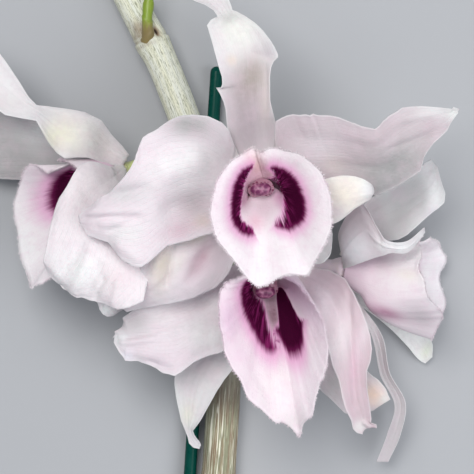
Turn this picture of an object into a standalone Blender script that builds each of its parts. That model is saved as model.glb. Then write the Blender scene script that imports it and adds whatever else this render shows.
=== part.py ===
"""A cut, flowering dendrobium cane with four blooms, tied to its stake and lying on its back.

Every length is in millimetres until a mesh is made. X runs to the right and Y up the cane as one
looks down on it, and Z is the height above the surface it lies on. Points of the blooms are laid out
as they are seen from straight above: seen() moves each one along its line of sight to its own height.
"""

import math

import bmesh
import bpy
from mathutils import Matrix, Vector

MM = 0.001

# The view that the layout is drawn in: eye height above the plane where seen sizes are true sizes.
EYE_DISTANCE = 444.0
TRUE_SIZE_HEIGHT = 45.0

# Blades: petals, sepals and lips are sheets of this thickness.
PETAL_THICKNESS = 0.7
LIP_THICKNESS = 0.75
BLADE_STEPS = 12
STEPS_PER_RIB = 2
BLADE_COLUMNS = 6
LIP_STEPS = 9
LIP_COLUMNS = 24

# The rolled part of a lip: its radius at each level above the head, and the gap between its margins.
LIP_TUBE = ((2.7, 1.8), (5.0, 5.8), (6.6, 11.0))
LIP_PARTING = 1.7

# The head of the ovary, which carries the petals round its side and the lip on its front.
HUB_RADIUS = 3.0
HUB_FRONT = 1.2
HUB_BACK = 2.6
CLAW_HALF_WIDTH = 1.3
SEAT_GAP = 0.35
SEPAL_LEVEL = -1.3
PETAL_LEVEL = 0.35
OVARY_RADIUS = 1.7
PEDICEL_RADIUS = 1.25

# The cane: a jointed stem, thicker at its foot, that bows up over the stake.
CANE_ROUTE = (
    (-32.6, 75.5), (-25.6, 59.6), (-18.4, 44.0), (-11.6, 29.0), (-6.6, 12.5),
    (-3.4, -4.0), (-2.6, -22.0), (-3.4, -40.0), (-4.5, -58.0), (-5.4, -74.0),
)
CANE_TOP_RADIUS = 4.15
CANE_FOOT_RADIUS = 4.65
CANE_SIDES = 16
CANE_STEPS = 44
CANE_END_HEIGHT = 3.7
CANE_BOW = 6.6
NODE_SHARES = (0.18, 0.365, 0.62, 0.905)
NODE_SWELL = 0.55
NODE_LENGTH_SHARE = 0.016

# The stake and the wire that ties the cane to it.
STAKE_RADIUS = 1.7
STAKE_TOP = (-5.0, 42.6)
STAKE_FOOT = (-13.0, -78.0)
STAKE_HEIGHT = 3.4
STAKE_SIDES = 12
TIE_RADIUS = 0.45
TIE_SHARE = 0.416


def seen(x, y, height):
    """The point at this height that is seen at x, y."""
    spread = 1 + (TRUE_SIZE_HEIGHT - height) / EYE_DISTANCE
    return Vector((x * spread, y * spread, height))


def smooth(values, t):
    """The value at t, from 0 to 1, of a smooth curve through evenly spaced values."""
    last = len(values) - 1
    if last == 0:
        return values[0]
    place = min(max(t, 0.0), 1.0) * last
    i = min(int(place), last - 1)
    f = place - i
    b, c = values[i], values[i + 1]
    a = values[i - 1] if i > 0 else b + (b - c)
    d = values[i + 2] if i + 2 <= last else c + (c - b)
    return (
        b
        + (c - a) * (0.5 * f)
        + (a * 2 - b * 5 + c * 4 - d) * (0.5 * f * f)
        + (b * 3 - a - c * 3 + d) * (0.5 * f * f * f)
    )


def direction(points, t):
    step = 0.01
    return (smooth(points, min(t + step, 1)) - smooth(points, max(t - step, 0))).normalized()


def across(vector, axis):
    """The part of vector that is square to axis, at unit length."""
    return (vector - axis * vector.dot(axis)).normalized()


def material(name, colour, roughness):
    made = bpy.data.materials.new(name)
    made.use_nodes = True
    shader = made.node_tree.nodes["Principled BSDF"]
    shader.inputs["Base Color"].default_value = (*colour, 1)
    shader.inputs["Roughness"].default_value = roughness
    shader.inputs["Metallic"].default_value = 0.0
    made.diffuse_color = (*colour, 1)
    return made


def add_object(name, vertices, faces, finish, parent):
    """One mesh object, its vertices given in millimetres and its faces made to point out."""
    mesh = bpy.data.meshes.new(name)
    work = bmesh.new()
    verts = [work.verts.new(Vector(v) * MM) for v in vertices]
    for face in faces:
        work.faces.new([verts[i] for i in face])
    bmesh.ops.recalc_face_normals(work, faces=work.faces)
    work.to_mesh(mesh)
    work.free()
    mesh.shade_smooth()
    obj = bpy.data.objects.new(name, mesh)
    bpy.context.scene.collection.objects.link(obj)
    obj.data.materials.append(finish)
    obj.parent = parent
    return obj


def sheet(name, rows, thickness, finish, parent):
    """A sheet through rows of points, split into triangles and thickened evenly to both sides."""
    width = len(rows[0])
    vertices = [point for row in rows for point in row]
    faces = []
    for i in range(len(rows) - 1):
        for j in range(width - 1):
            a, b = i * width + j, i * width + j + 1
            c, d = b + width, a + width
            faces += [(a, b, c), (a, c, d)] if (i + j) % 2 else [(a, b, d), (b, c, d)]
    obj = add_object(name, vertices, faces, finish, parent)
    solidify = obj.modifiers.new("Thickness", "SOLIDIFY")
    solidify.thickness = thickness * MM
    solidify.offset = 0
    return obj


def blade(name, ribs, cup, wave, finish, parent):
    """A petal or sepal: a sheet across ribs, each a pair of margin points, with waved margins.

    Seen with its inner face towards one and its base down, each rib runs from the left margin to
    the right one. cup is how far the middle sinks below the margins at even steps from base to tip,
    and wave is the height, count and phase of the ripples.
    """
    lefts = [rib[0] for rib in ribs]
    rights = [rib[1] for rib in ribs]
    middles = [(left + right) / 2 for left, right in ribs]
    height, count, phase = wave
    steps = max(BLADE_STEPS, STEPS_PER_RIB * len(ribs))
    rows = []
    for i in range(steps + 1):
        t = i / steps
        left, right = smooth(lefts, t), smooth(rights, t)
        normal = (right - left).cross(direction(middles, t)).normalized()
        row = []
        for j in range(BLADE_COLUMNS + 1):
            u = 2 * j / BLADE_COLUMNS - 1
            ripple = height * abs(u) ** 2.5 * math.sin(math.pi * t) ** 0.5
            turn = 2 * math.pi * (count * t + phase + (0.37 if u < 0 else 0))
            sink = smooth(cup, t) * (1 - u * u)
            point = left.lerp(right, (u + 1) / 2) + normal * (ripple * math.sin(turn) - sink)
            point.z = max(point.z, PETAL_THICKNESS / 2)
            row.append(point)
        rows.append(row)
    return sheet(name, rows, PETAL_THICKNESS, finish, parent)


def tube(name, route, radii, sides, steps, finish, parent, lowest=None):
    """A round stem along route, capped at both ends, pressed flat where it would dip below lowest."""
    rings = []
    side = across(Vector((1, 0, 0)), direction(route, 0))
    for i in range(steps + 1):
        t = i / steps
        along = direction(route, t)
        side = across(side, along)
        other = along.cross(side)
        ring = []
        for j in range(sides):
            angle = 2 * math.pi * (j + 0.5) / sides
            point = smooth(route, t) + (side * math.cos(angle) + other * math.sin(angle)) * radii(t)
            if lowest is not None:
                point.z = max(point.z, lowest)
            ring.append(point)
        rings.append(ring)
    vertices = [point for ring in rings for point in ring]
    faces = [
        (i * sides + j, i * sides + (j + 1) % sides,
         (i + 1) * sides + (j + 1) % sides, (i + 1) * sides + j)
        for i in range(steps)
        for j in range(sides)
    ]
    faces.append(tuple(range(sides)))
    faces.append(tuple(steps * sides + j for j in range(sides)))
    return add_object(name, vertices, faces, finish, parent)


def fuse(target, others):
    """Joins others into target with one Boolean union, then removes them."""
    group = bpy.data.collections.new(target.name + "_pieces")
    bpy.context.scene.collection.children.link(group)
    for piece in others:
        bpy.context.scene.collection.objects.unlink(piece)
        group.objects.link(piece)
    union = target.modifiers.new("Union", "BOOLEAN")
    union.operation = "UNION"
    union.operand_type = "COLLECTION"
    union.collection = group
    union.solver = "EXACT"
    bpy.context.view_layer.update()
    graph = bpy.context.evaluated_depsgraph_get()
    joined = bpy.data.meshes.new_from_object(target.evaluated_get(graph))
    target.modifiers.clear()
    target.data = joined
    for piece in others:
        bpy.data.objects.remove(piece)
    bpy.data.collections.remove(group)
    return target


class Bloom:
    """One flower: its place, the way it faces and its own organs."""

    def __init__(self, name, place, faces, top, finishes, root):
        self.name = name
        self.place = seen(*place)
        self.front = Vector(faces).normalized()
        self.top = across(Vector(top), self.front)
        self.right = self.top.cross(self.front)
        self.finishes = finishes
        self.root = root

    def at(self, right, top, front):
        return self.place + self.right * right + self.top * top + self.front * front

    def tepal(self, organ, root, ribs, cup=(0.3, 1, 1, 0.5), wave=(0.5, 2.4, 0.3)):
        """A petal or sepal, rooted on the head's side at an angle clockwise from its top."""
        margins = [(seen(*rib[:3]), seen(*rib[3:])) for rib in ribs]
        turn = math.radians(root)
        outward = self.right * math.sin(turn) + self.top * math.cos(turn)
        tangent = self.right * math.cos(turn) - self.top * math.sin(turn)
        level = PETAL_LEVEL if organ.startswith("petal") else SEPAL_LEVEL
        base = self.place + outward * (HUB_RADIUS + SEAT_GAP) + self.front * level
        half = tangent * CLAW_HALF_WIDTH
        blade(
            f"{self.name}_{organ}", [(base - half, base + half), *margins], cup, wave,
            self.finishes["petal"], self.root,
        )

    def lip(self, rim, wave=(0.35, 7)):
        """The lip: a sheet rolled round the column, its margins meeting at the top, that flares to a rim.

        rim runs from the top, down the left side, over the bottom and up the right side.
        """
        rim = [seen(*point) for point in rim]
        height, count = wave
        rings = []
        for i in range(LIP_COLUMNS + 1):
            u = 2 * i / LIP_COLUMNS - 1
            guide = []
            for radius, level in LIP_TUBE:
                angle = u * (math.pi - LIP_PARTING / 2 / radius)
                guide.append(self.at(radius * math.sin(angle), -radius * math.cos(angle), level))
            guide.append(smooth(rim, (u + 1) / 2))
            rings.append(guide)
        rows = []
        for i in range(LIP_STEPS + 1):
            s = i / LIP_STEPS
            row = []
            for j, guide in enumerate(rings):
                u = 2 * j / LIP_COLUMNS - 1
                ripple = height * s ** 4 * math.sin(count * math.pi * u)
                row.append(smooth(guide, s) + self.front * ripple)
            rows.append(row)
        sheet(f"{self.name}_lip", rows, LIP_THICKNESS, self.finishes["lip"], self.root)

    def column(self):
        """The column on the front of the ovary's head, under the roof of the lip, and its anther cap."""
        start = HUB_FRONT + SEAT_GAP
        route = [
            self.at(0, 0.7, start), self.at(0, 1.5, start + 3.5),
            self.at(0, 2.4, start + 7), self.at(0, 2.9, start + 10),
        ]
        radii = (1.1, 1.35, 1.7, 1.6)
        tube(
            f"{self.name}_column", route, lambda t: smooth(radii, t), 10, 5,
            self.finishes["column"], self.root,
        )
        along = direction(route, 1)
        cap = [route[-1] + along * (SEAT_GAP + step) for step in (0, 0.7, 1.4, 2.0)]
        cap_radii = (1.25, 1.6, 1.3, 0.5)
        tube(
            f"{self.name}_anther_cap", cap, lambda t: smooth(cap_radii, t), 10, 4,
            self.finishes["anther"], self.root,
        )


def pedicel(name, start, bends, bloom, finish, root):
    """The stalk of one bloom, which swells into the ovary and ends in the head that holds the petals."""
    bends = [seen(*bend) for bend in bends]
    route = [start, *bends, bloom.at(0, 0, -HUB_BACK), bloom.at(0, 0, HUB_FRONT)]
    plain = [PEDICEL_RADIUS] * (2 * len(bends))
    radii = [*plain, PEDICEL_RADIUS * 1.1, OVARY_RADIUS, HUB_RADIUS * 0.93, HUB_RADIUS * 0.8]
    steps = 5 * (len(route) - 1)
    return tube(name, route, lambda t: smooth(radii, t), 10, steps, finish, root)


def front_bloom(finishes, root):
    """The bloom at the top of the heap, which looks straight up at the viewer."""
    bloom = Bloom("front", (6.2, 11.2, 36), (0.08, -0.16, 0.98), (-0.1, 1, 0.2), finishes, root)
    bloom.tepal(
        "dorsal_sepal", 0,
        [
            (0.6, 18.4, 37, 9.6, 18.4, 37), (-2.2, 27.0, 40.5, 9.6, 27.0, 40),
            (-3.6, 36.0, 44, 8.2, 36.0, 43.5), (-5.6, 45.6, 46, 9.8, 44.8, 45),
            (-7.3, 52.6, 45, 6.0, 52.8, 46), (-4.9, 55.0, 43, -1.0, 56.6, 43.5),
            (-10.2, 58.8, 41, -2.2, 60.2, 42), (-15.5, 62.6, 38, -9.4, 64.8, 39.5),
            (-18.6, 66.4, 36, -17.0, 67.2, 36.5),
        ],
        cup=(0.4, 1.2, 1.6, 1.2, 0.6, 0.2), wave=(0.3, 2.5, 0.1),
    )
    bloom.tepal(
        "petal_right", 74,
        [
            (9.4, 24.0, 41, 11.0, 10.6, 37.5), (13.6, 29.8, 45, 19.0, 10.0, 37.5),
            (23.0, 30.0, 47.5, 27.0, 10.6, 38), (34.0, 27.2, 48, 35.5, 10.8, 40),
            (41.0, 32.0, 47, 45.2, 15.6, 42.5), (49.6, 32.6, 46, 49.4, 23.8, 44.5),
            (55.4, 32.0, 45, 55.2, 31.0, 45),
        ],
        cup=(0.4, 1.8, 1.6, 0.4, 0.8, 0.1), wave=(0.6, 2.6, 0.3),
    )
    bloom.tepal(
        "petal_left", -74,
        [
            (-1.5, 4.0, 40, -0.6, 23.0, 41), (-9.0, 0.5, 43, -7.2, 29.6, 46),
            (-19.0, -5.0, 45, -15.6, 30.0, 49), (-27.0, -7.2, 46, -24.2, 23.6, 50),
            (-33.6, -1.6, 46, -33.0, 12.6, 49.5), (-39.2, 2.0, 46, -39.4, 4.8, 46.5),
        ],
        cup=(0.4, 1.8, 1.2, -0.6, -0.5, 0.0), wave=(0.7, 2.3, 0.55),
    )
    bloom.tepal(
        "lateral_sepal_left", -140,
        [
            (1.0, -2.0, 34, -4.5, 3.0, 36.5), (-6.6, -8.0, 34, -12.0, 1.5, 38.5),
            (-13.0, -13.8, 34.5, -20.5, -3.0, 41), (-19.0, -15.6, 34.5, -26.0, -9.5, 40),
            (-24.4, -17.6, 34, -29.4, -14.6, 37.5), (-27.8, -18.6, 34, -28.8, -17.6, 35),
        ],
        cup=(0.3, 0.6, -1.6, -1.4, -0.6, 0), wave=(0.3, 2.5, 0.2),
    )
    bloom.tepal(
        "lateral_sepal_right", 128,
        [
            (12.6, 7.6, 36, 10.6, 3.0, 35), (19.0, 13.2, 43.5, 18.0, 2.6, 38),
            (25.4, 15.2, 47, 24.6, 3.6, 42), (30.4, 14.9, 48, 29.2, 6.8, 45.5),
            (33.6, 13.2, 46.5, 32.8, 9.2, 45.5), (34.2, 11.8, 41, 33.6, 10.2, 40.5),
        ],
        cup=(0.3, 0.8, -0.8, -1.4, -0.8, 0), wave=(0.2, 2, 0.4),
    )
    bloom.lip(
        [
            (5.1, 21.7, 53), (1.2, 20.8, 54), (-3.4, 16.6, 56), (-6.2, 10.2, 57.5), (-6.3, 3.8, 58.5),
            (-4.0, -2.2, 59), (0.0, -8.0, 58.5), (6.2, -12.4, 56.5), (13.4, -10.4, 57.5),
            (19.2, -8.6, 58), (22.8, -2.4, 59), (23.7, 5.0, 58), (21.8, 12.6, 56.5),
            (15.6, 20.0, 54.5), (7.0, 22.0, 53.5),
        ]
    )
    bloom.column()
    return bloom


def lower_bloom(finishes, root):
    """The bloom below the front one, which hangs its lip down towards the viewer."""
    bloom = Bloom("lower", (7.8, -8.0, 22), (0.13, -0.46, 0.88), (-0.1, 0.88, 0.45), finishes, root)
    bloom.tepal(
        "dorsal_sepal", 20,
        [
            (6.0, 0.0, 24, 13.4, -3.6, 24), (11.0, 8.0, 27.5, 20.6, -6.0, 26),
            (17.6, 10.4, 28.5, 25.6, -4.0, 27), (22.4, 5.4, 28, 25.0, 1.0, 27.5),
        ],
        cup=(0.3, 0.8, 0.8, 0), wave=(0.2, 2, 0.2),
    )
    bloom.tepal(
        "petal_left", -78,
        [
            (-1.0, -15.5, 26.5, 0.8, -6.4, 25.5), (-7.4, -31.0, 30, -9.0, -10.4, 29),
            (-16.0, -34.6, 31.5, -17.6, -14.6, 31), (-25.2, -31.6, 31, -25.6, -18.0, 31),
            (-30.6, -26.6, 30, -30.6, -22.6, 30),
        ],
        cup=(0.3, 1.4, 1.0, -0.6, 0), wave=(0.7, 2.6, 0.35),
    )
    bloom.tepal(
        "petal_right", 74,
        [
            (18.4, -7.6, 24.5, 15.6, -13.8, 24), (27.2, -10.0, 29.5, 18.0, -18.6, 29),
            (32.2, -21.0, 33, 22.0, -26.0, 34), (33.8, -30.6, 33.5, 24.4, -34.0, 34.5),
            (33.4, -39.6, 33, 27.4, -42.4, 33.5), (34.6, -46.4, 31, 29.8, -49.2, 30.5),
        ],
        cup=(0.3, 1.2, 1.4, 1.0, 0.3), wave=(0.5, 2.6, 0.1),
    )
    bloom.tepal(
        "lateral_sepal_left", -146,
        [
            (4.0, -21.0, 19, -4.0, -18.0, 19), (0.6, -30.0, 20.5, -11.5, -26.0, 20),
            (-4.6, -38.4, 21, -15.8, -35.6, 20.5), (-9.2, -46.2, 19.5, -14.0, -44.0, 19),
            (-11.2, -49.6, 17.5, -12.8, -49.0, 17.5), (-9.0, -52.0, 16, -9.4, -53.2, 15.5),
        ],
        cup=(0.3, 0.8, 0.8, 0.6, 0.1), wave=(0.2, 2, 0.3),
    )
    bloom.tepal(
        "lateral_sepal_right", 140,
        [
            (17.0, -15.4, 20, 10.6, -20.4, 19), (25.0, -22.4, 21.5, 15.6, -29.0, 20),
            (31.0, -30.0, 22, 20.4, -36.6, 20.5), (36.2, -36.0, 22, 25.6, -42.6, 20),
            (38.2, -40.6, 21, 33.0, -44.0, 19.5),
        ],
        cup=(0.3, 0.8, 0.8, 0.4, 0.1), wave=(0.2, 2, 0.6),
    )
    bloom.lip(
        [
            (6.8, -9.4, 40), (1.4, -9.4, 41), (-2.8, -12.0, 42), (-4.4, -18.0, 43.5),
            (-3.5, -24.6, 44), (-0.6, -33.0, 44.5), (5.2, -43.0, 43.5), (15.4, -50.2, 40),
            (19.4, -43.4, 43.5), (22.0, -35.0, 45), (22.4, -27.0, 45), (20.8, -20.2, 44),
            (17.6, -14.4, 43), (13.0, -10.6, 42), (8.8, -9.6, 41),
        ],
        wave=(0.4, 7),
    )
    bloom.column()
    return bloom


def left_bloom(finishes, root):
    """The bloom at the left, which looks away to the left and a little up at the viewer."""
    bloom = Bloom("left", (-29.2, 16.2, 19), (-0.77, -0.32, 0.55), (-0.35, 0.93, 0.1), finishes, root)
    bloom.tepal(
        "dorsal_sepal", -6,
        [
            (-33.2, 20.4, 22.5, -29.6, 24.2, 21), (-37.6, 21.6, 29.5, -35.0, 29.8, 26),
            (-44.2, 20.2, 31.5, -41.6, 31.8, 28), (-48.6, 27.0, 29, -47.4, 32.8, 28),
            (-51.6, 30.8, 29, -50.2, 33.8, 28), (-58.0, 30.4, 29, -54.6, 41.2, 28),
            (-65.0, 35.6, 27, -61.0, 48.0, 27), (-70.6, 47.0, 25, -69.4, 50.6, 25),
        ],
        cup=(0.3, 1.2, -1.6, -0.8, 0.2, 0.8, 0.6, 0), wave=(0.2, 2, 0.3),
    )
    bloom.tepal(
        "petal_near", 84,
        [
            (-33.4, 17.6, 29.5, -28.6, 9.6, 28), (-40.4, 17.4, 35.5, -27.8, 0.0, 33),
            (-44.8, 10.6, 39.5, -27.6, -8.0, 35), (-46.8, 2.6, 40.5, -29.0, -14.2, 35.5),
            (-48.2, -5.0, 39.5, -33.4, -16.6, 35), (-47.6, -9.8, 37, -40.2, -15.0, 34.5),
        ],
        cup=(0.3, 0.4, 1.2, 1.4, 0.8, 0), wave=(0.6, 2.4, 0.4),
    )
    bloom.tepal(
        "petal_far", -78,
        [
            (-34.0, 16.0, 12, -34.0, 22.0, 13), (-43.0, 15.0, 9.5, -42.6, 28.0, 10.5),
            (-53.0, 14.2, 8.5, -52.0, 31.0, 10), (-62.6, 15.6, 8, -61.6, 32.0, 9.5),
            (-71.6, 21.6, 8, -71.0, 28.6, 9),
        ],
        cup=(0.3, 1, 0.8, -0.6, 0), wave=(0.5, 2.4, 0.1),
    )
    bloom.tepal(
        "lateral_sepal_near", 142,
        [
            (-27.2, 7.4, 20.8, -31.6, 7.0, 20.4), (-26.0, -3.0, 24.5, -35.6, -2.0, 25.5),
            (-26.6, -12.0, 26.5, -37.2, -11.0, 28), (-29.4, -18.6, 26.5, -34.6, -17.6, 27.5),
            (-31.0, -20.0, 26, -32.6, -19.8, 26.5),
        ],
        cup=(0.3, 0.8, 0.6, 0.2, 0), wave=(0.2, 2, 0.7),
    )
    bloom.tepal(
        "lateral_sepal_far", -146,
        [
            (-31.6, 6.6, 9, -37.4, 10.4, 9), (-36.0, -1.0, 5, -45.0, 4.6, 5),
            (-42.6, -7.0, 3, -50.0, -2.6, 3), (-48.6, -9.6, 2, -50.2, -8.6, 2),
        ],
        cup=(0.3, 0.5, 0.3, 0), wave=(0.1, 2, 0.5),
    )
    bloom.lip(
        [
            (-46.8, 17.0, 27), (-50.6, 17.9, 24), (-53.8, 15.2, 21), (-55.6, 10.5, 19.5),
            (-56.2, 4.5, 19.5), (-55.2, -2.0, 21.5), (-53.8, -8.0, 25), (-52.2, -12.6, 28.5),
            (-48.2, -10.6, 31.5), (-45.2, -5.0, 33), (-42.8, 1.0, 34), (-41.0, 7.5, 34.3),
            (-40.6, 13.0, 33.5), (-42.2, 17.4, 31.5), (-45.4, 18.6, 28.5),
        ],
        wave=(0.4, 7),
    )
    bloom.column()
    return bloom


def right_bloom(finishes, root):
    """The bloom at the right, seen from the side as it looks away to the right."""
    bloom = Bloom("right", (26.6, -7.8, 17), (0.96, -0.2, 0.12), (0.2, 0.98, 0.05), finishes, root)
    bloom.tepal(
        "dorsal_sepal", 4,
        [
            (27.4, 1.2, 20, 31.6, -0.6, 16), (31.8, 8.4, 23.5, 38.6, -0.4, 20),
            (38.0, 12.4, 26, 44.6, 2.2, 23.5), (43.6, 15.6, 27.5, 50.0, 6.6, 24),
            (47.0, 18.4, 27.5, 52.0, 11.0, 25), (48.6, 19.4, 27, 50.6, 16.8, 26),
        ],
        cup=(0.3, 1.0, 1.6, 1.8, 1.0, 0.2), wave=(0.2, 2, 0.5),
    )
    bloom.tepal(
        "petal_near", -66,
        [
            (30.0, -6.8, 26, 25.4, 1.0, 25), (34.0, -5.4, 29.5, 30.6, 8.6, 31),
            (36.6, -4.6, 31.5, 34.6, 2.4, 34), (38.6, -4.0, 32.5, 37.4, -0.8, 34.5),
            (42.8, -3.8, 32, 42.4, -1.0, 33.5), (47.0, 1.2, 30.5, 46.8, 2.4, 31),
        ],
        cup=(0.3, 0.8, 0.5, 0.1, 0.1, 0), wave=(0.1, 2, 0.2),
    )
    bloom.tepal(
        "petal_far", 62,
        [
            (25.8, -1.6, 11, 33.0, -6.0, 9.5), (26.4, 3.0, 9, 37.0, -2.0, 6),
            (31.0, 8.0, 6, 41.0, 3.0, 2.4), (37.6, 11.6, 1, 44.0, 7.0, 0.35),
            (42.0, 13.0, 0.35, 45.0, 11.0, 0.35),
        ],
        cup=(0.3, 0.5, 0.4, 0.1, 0), wave=(0.1, 2, 0.15),
    )
    bloom.tepal(
        "lateral_sepal_near", -140,
        [
            (31.4, -17.6, 16, 29.6, -16.2, 18), (36.4, -25.0, 17, 33.8, -25.4, 16),
            (38.2, -34.0, 16.5, 35.8, -34.4, 14.5), (42.1, -41.6, 15, 39.3, -41.8, 13),
            (40.8, -49.6, 11, 37.5, -49.2, 10), (37.8, -56.2, 7.5, 34.8, -56.2, 7),
        ],
        cup=(0.2, 0.4, 0.4, 0.5, 0.4, 0.3, 0), wave=(0.1, 2, 0.15),
    )
    bloom.tepal(
        "lateral_sepal_far", 146,
        [
            (32.0, -12.6, 8, 29.6, -16.0, 8), (38.6, -16.4, 5.5, 36.0, -21.0, 5.5),
            (44.6, -20.4, 4, 41.0, -25.6, 4), (48.6, -26.0, 3, 45.2, -30.4, 3),
            (48.8, -30.0, 2.5, 47.0, -31.6, 2.5),
        ],
        cup=(0.3, 0.5, 0.5, 0.4, 0), wave=(0.1, 2, 0.65),
    )
    bloom.lip(
        [
            (46.9, 0.4, 21), (46.3, -2.6, 26), (46.4, -6.0, 29.5), (46.8, -9.6, 31),
            (47.8, -13.2, 31.5), (49.8, -16.8, 29.5), (52.0, -20.6, 25), (49.2, -25.6, 18.5),
            (51.0, -21.4, 11.5), (52.6, -17.6, 7.5), (51.8, -13.2, 5.5), (51.4, -9.0, 5.5),
            (52.6, -5.0, 7.5), (51.0, -1.8, 11.5), (48.8, -0.4, 17),
        ],
        wave=(0.4, 7),
    )
    bloom.column()
    return bloom


def cane_route():
    """The cane's own line: its ends lie on the surface and its middle bows up over the stake."""
    points = []
    crossing = CANE_ROUTE[0][1] + (CANE_ROUTE[-1][1] - CANE_ROUTE[0][1]) * TIE_SHARE
    for x, y in CANE_ROUTE:
        reach = abs(y - (CANE_ROUTE[0][1] if y > crossing else CANE_ROUTE[-1][1]))
        reach /= abs(crossing - (CANE_ROUTE[0][1] if y > crossing else CANE_ROUTE[-1][1]))
        lift = math.sin(min(reach, 1) * math.pi / 2) ** 1.3
        points.append(seen(x, y, CANE_END_HEIGHT + CANE_BOW * lift))
    return points


def cane_radius(t):
    """The cane's radius at a share of its length: an even taper with a swollen ring at each node."""
    plain = CANE_TOP_RADIUS + (CANE_FOOT_RADIUS - CANE_TOP_RADIUS) * t
    ring = sum(math.exp(-(((t - node) / NODE_LENGTH_SHARE) ** 2)) for node in NODE_SHARES)
    return plain + NODE_SWELL * ring


def stake_line():
    return [seen(*STAKE_TOP, STAKE_HEIGHT), seen(*STAKE_FOOT, STAKE_HEIGHT)]


def stake_tie(route, finish, root):
    """A loop of coated wire round the cane and the stake, with its two ends twisted together."""
    cane_point = smooth(route, TIE_SHARE)
    along = direction(route, TIE_SHARE)
    top, foot = stake_line()
    share = (top.y - cane_point.y) / (top.y - foot.y)
    stake_point = top + (foot - top) * share
    gap = SEAT_GAP + TIE_RADIUS
    rings = (
        (cane_point, cane_radius(TIE_SHARE) + gap),
        (stake_point, STAKE_RADIUS + gap),
    )
    side = across(Vector((1, 0, 0)), along)
    up = side.cross(along) if side.cross(along).z > 0 else along.cross(side)
    loop = []
    slant = math.asin((rings[0][1] - rings[1][1]) / (rings[0][0].z - rings[1][0].z))
    for (centre, radius), (first, last) in zip(
        rings, ((-slant, math.pi + slant), (math.pi + slant, 2 * math.pi - slant))
    ):
        for i in range(9):
            angle = first + (last - first) * i / 8
            loop.append(centre + (side * math.cos(angle) + up * math.sin(angle)) * radius)
    curve = bpy.data.curves.new("stake_tie", "CURVE")
    curve.dimensions = "3D"
    curve.bevel_depth = TIE_RADIUS * MM
    curve.bevel_resolution = 2
    line = curve.splines.new("POLY")
    line.points.add(len(loop) - 1)
    line.use_cyclic_u = True
    for point, place in zip(line.points, loop):
        point.co = (*(place * MM), 1)
    tie = bpy.data.objects.new("stake_tie", curve)
    bpy.context.scene.collection.objects.link(tie)
    bpy.context.view_layer.update()
    graph = bpy.context.evaluated_depsgraph_get()
    mesh = bpy.data.meshes.new_from_object(tie.evaluated_get(graph))
    bpy.data.objects.remove(tie)
    tie = bpy.data.objects.new("stake_tie", mesh)
    bpy.context.scene.collection.objects.link(tie)
    tie.data.materials.clear()
    tie.data.materials.append(finish)
    tie.parent = root
    knot = rings[0][0] + (side * math.cos(2.6) + up * math.sin(2.6)) * rings[0][1]
    end = knot + (side * -1.0 + up * 0.25) * 7 - along * 2
    twist = tube(
        "tie_twist", [knot - (end - knot) * 0.05, (knot + end) / 2 - up * 0.6, end],
        lambda t: TIE_RADIUS * (1.7 - 0.2 * t), 8, 5, finish, root,
    )
    return fuse(tie, [twist])


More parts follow.
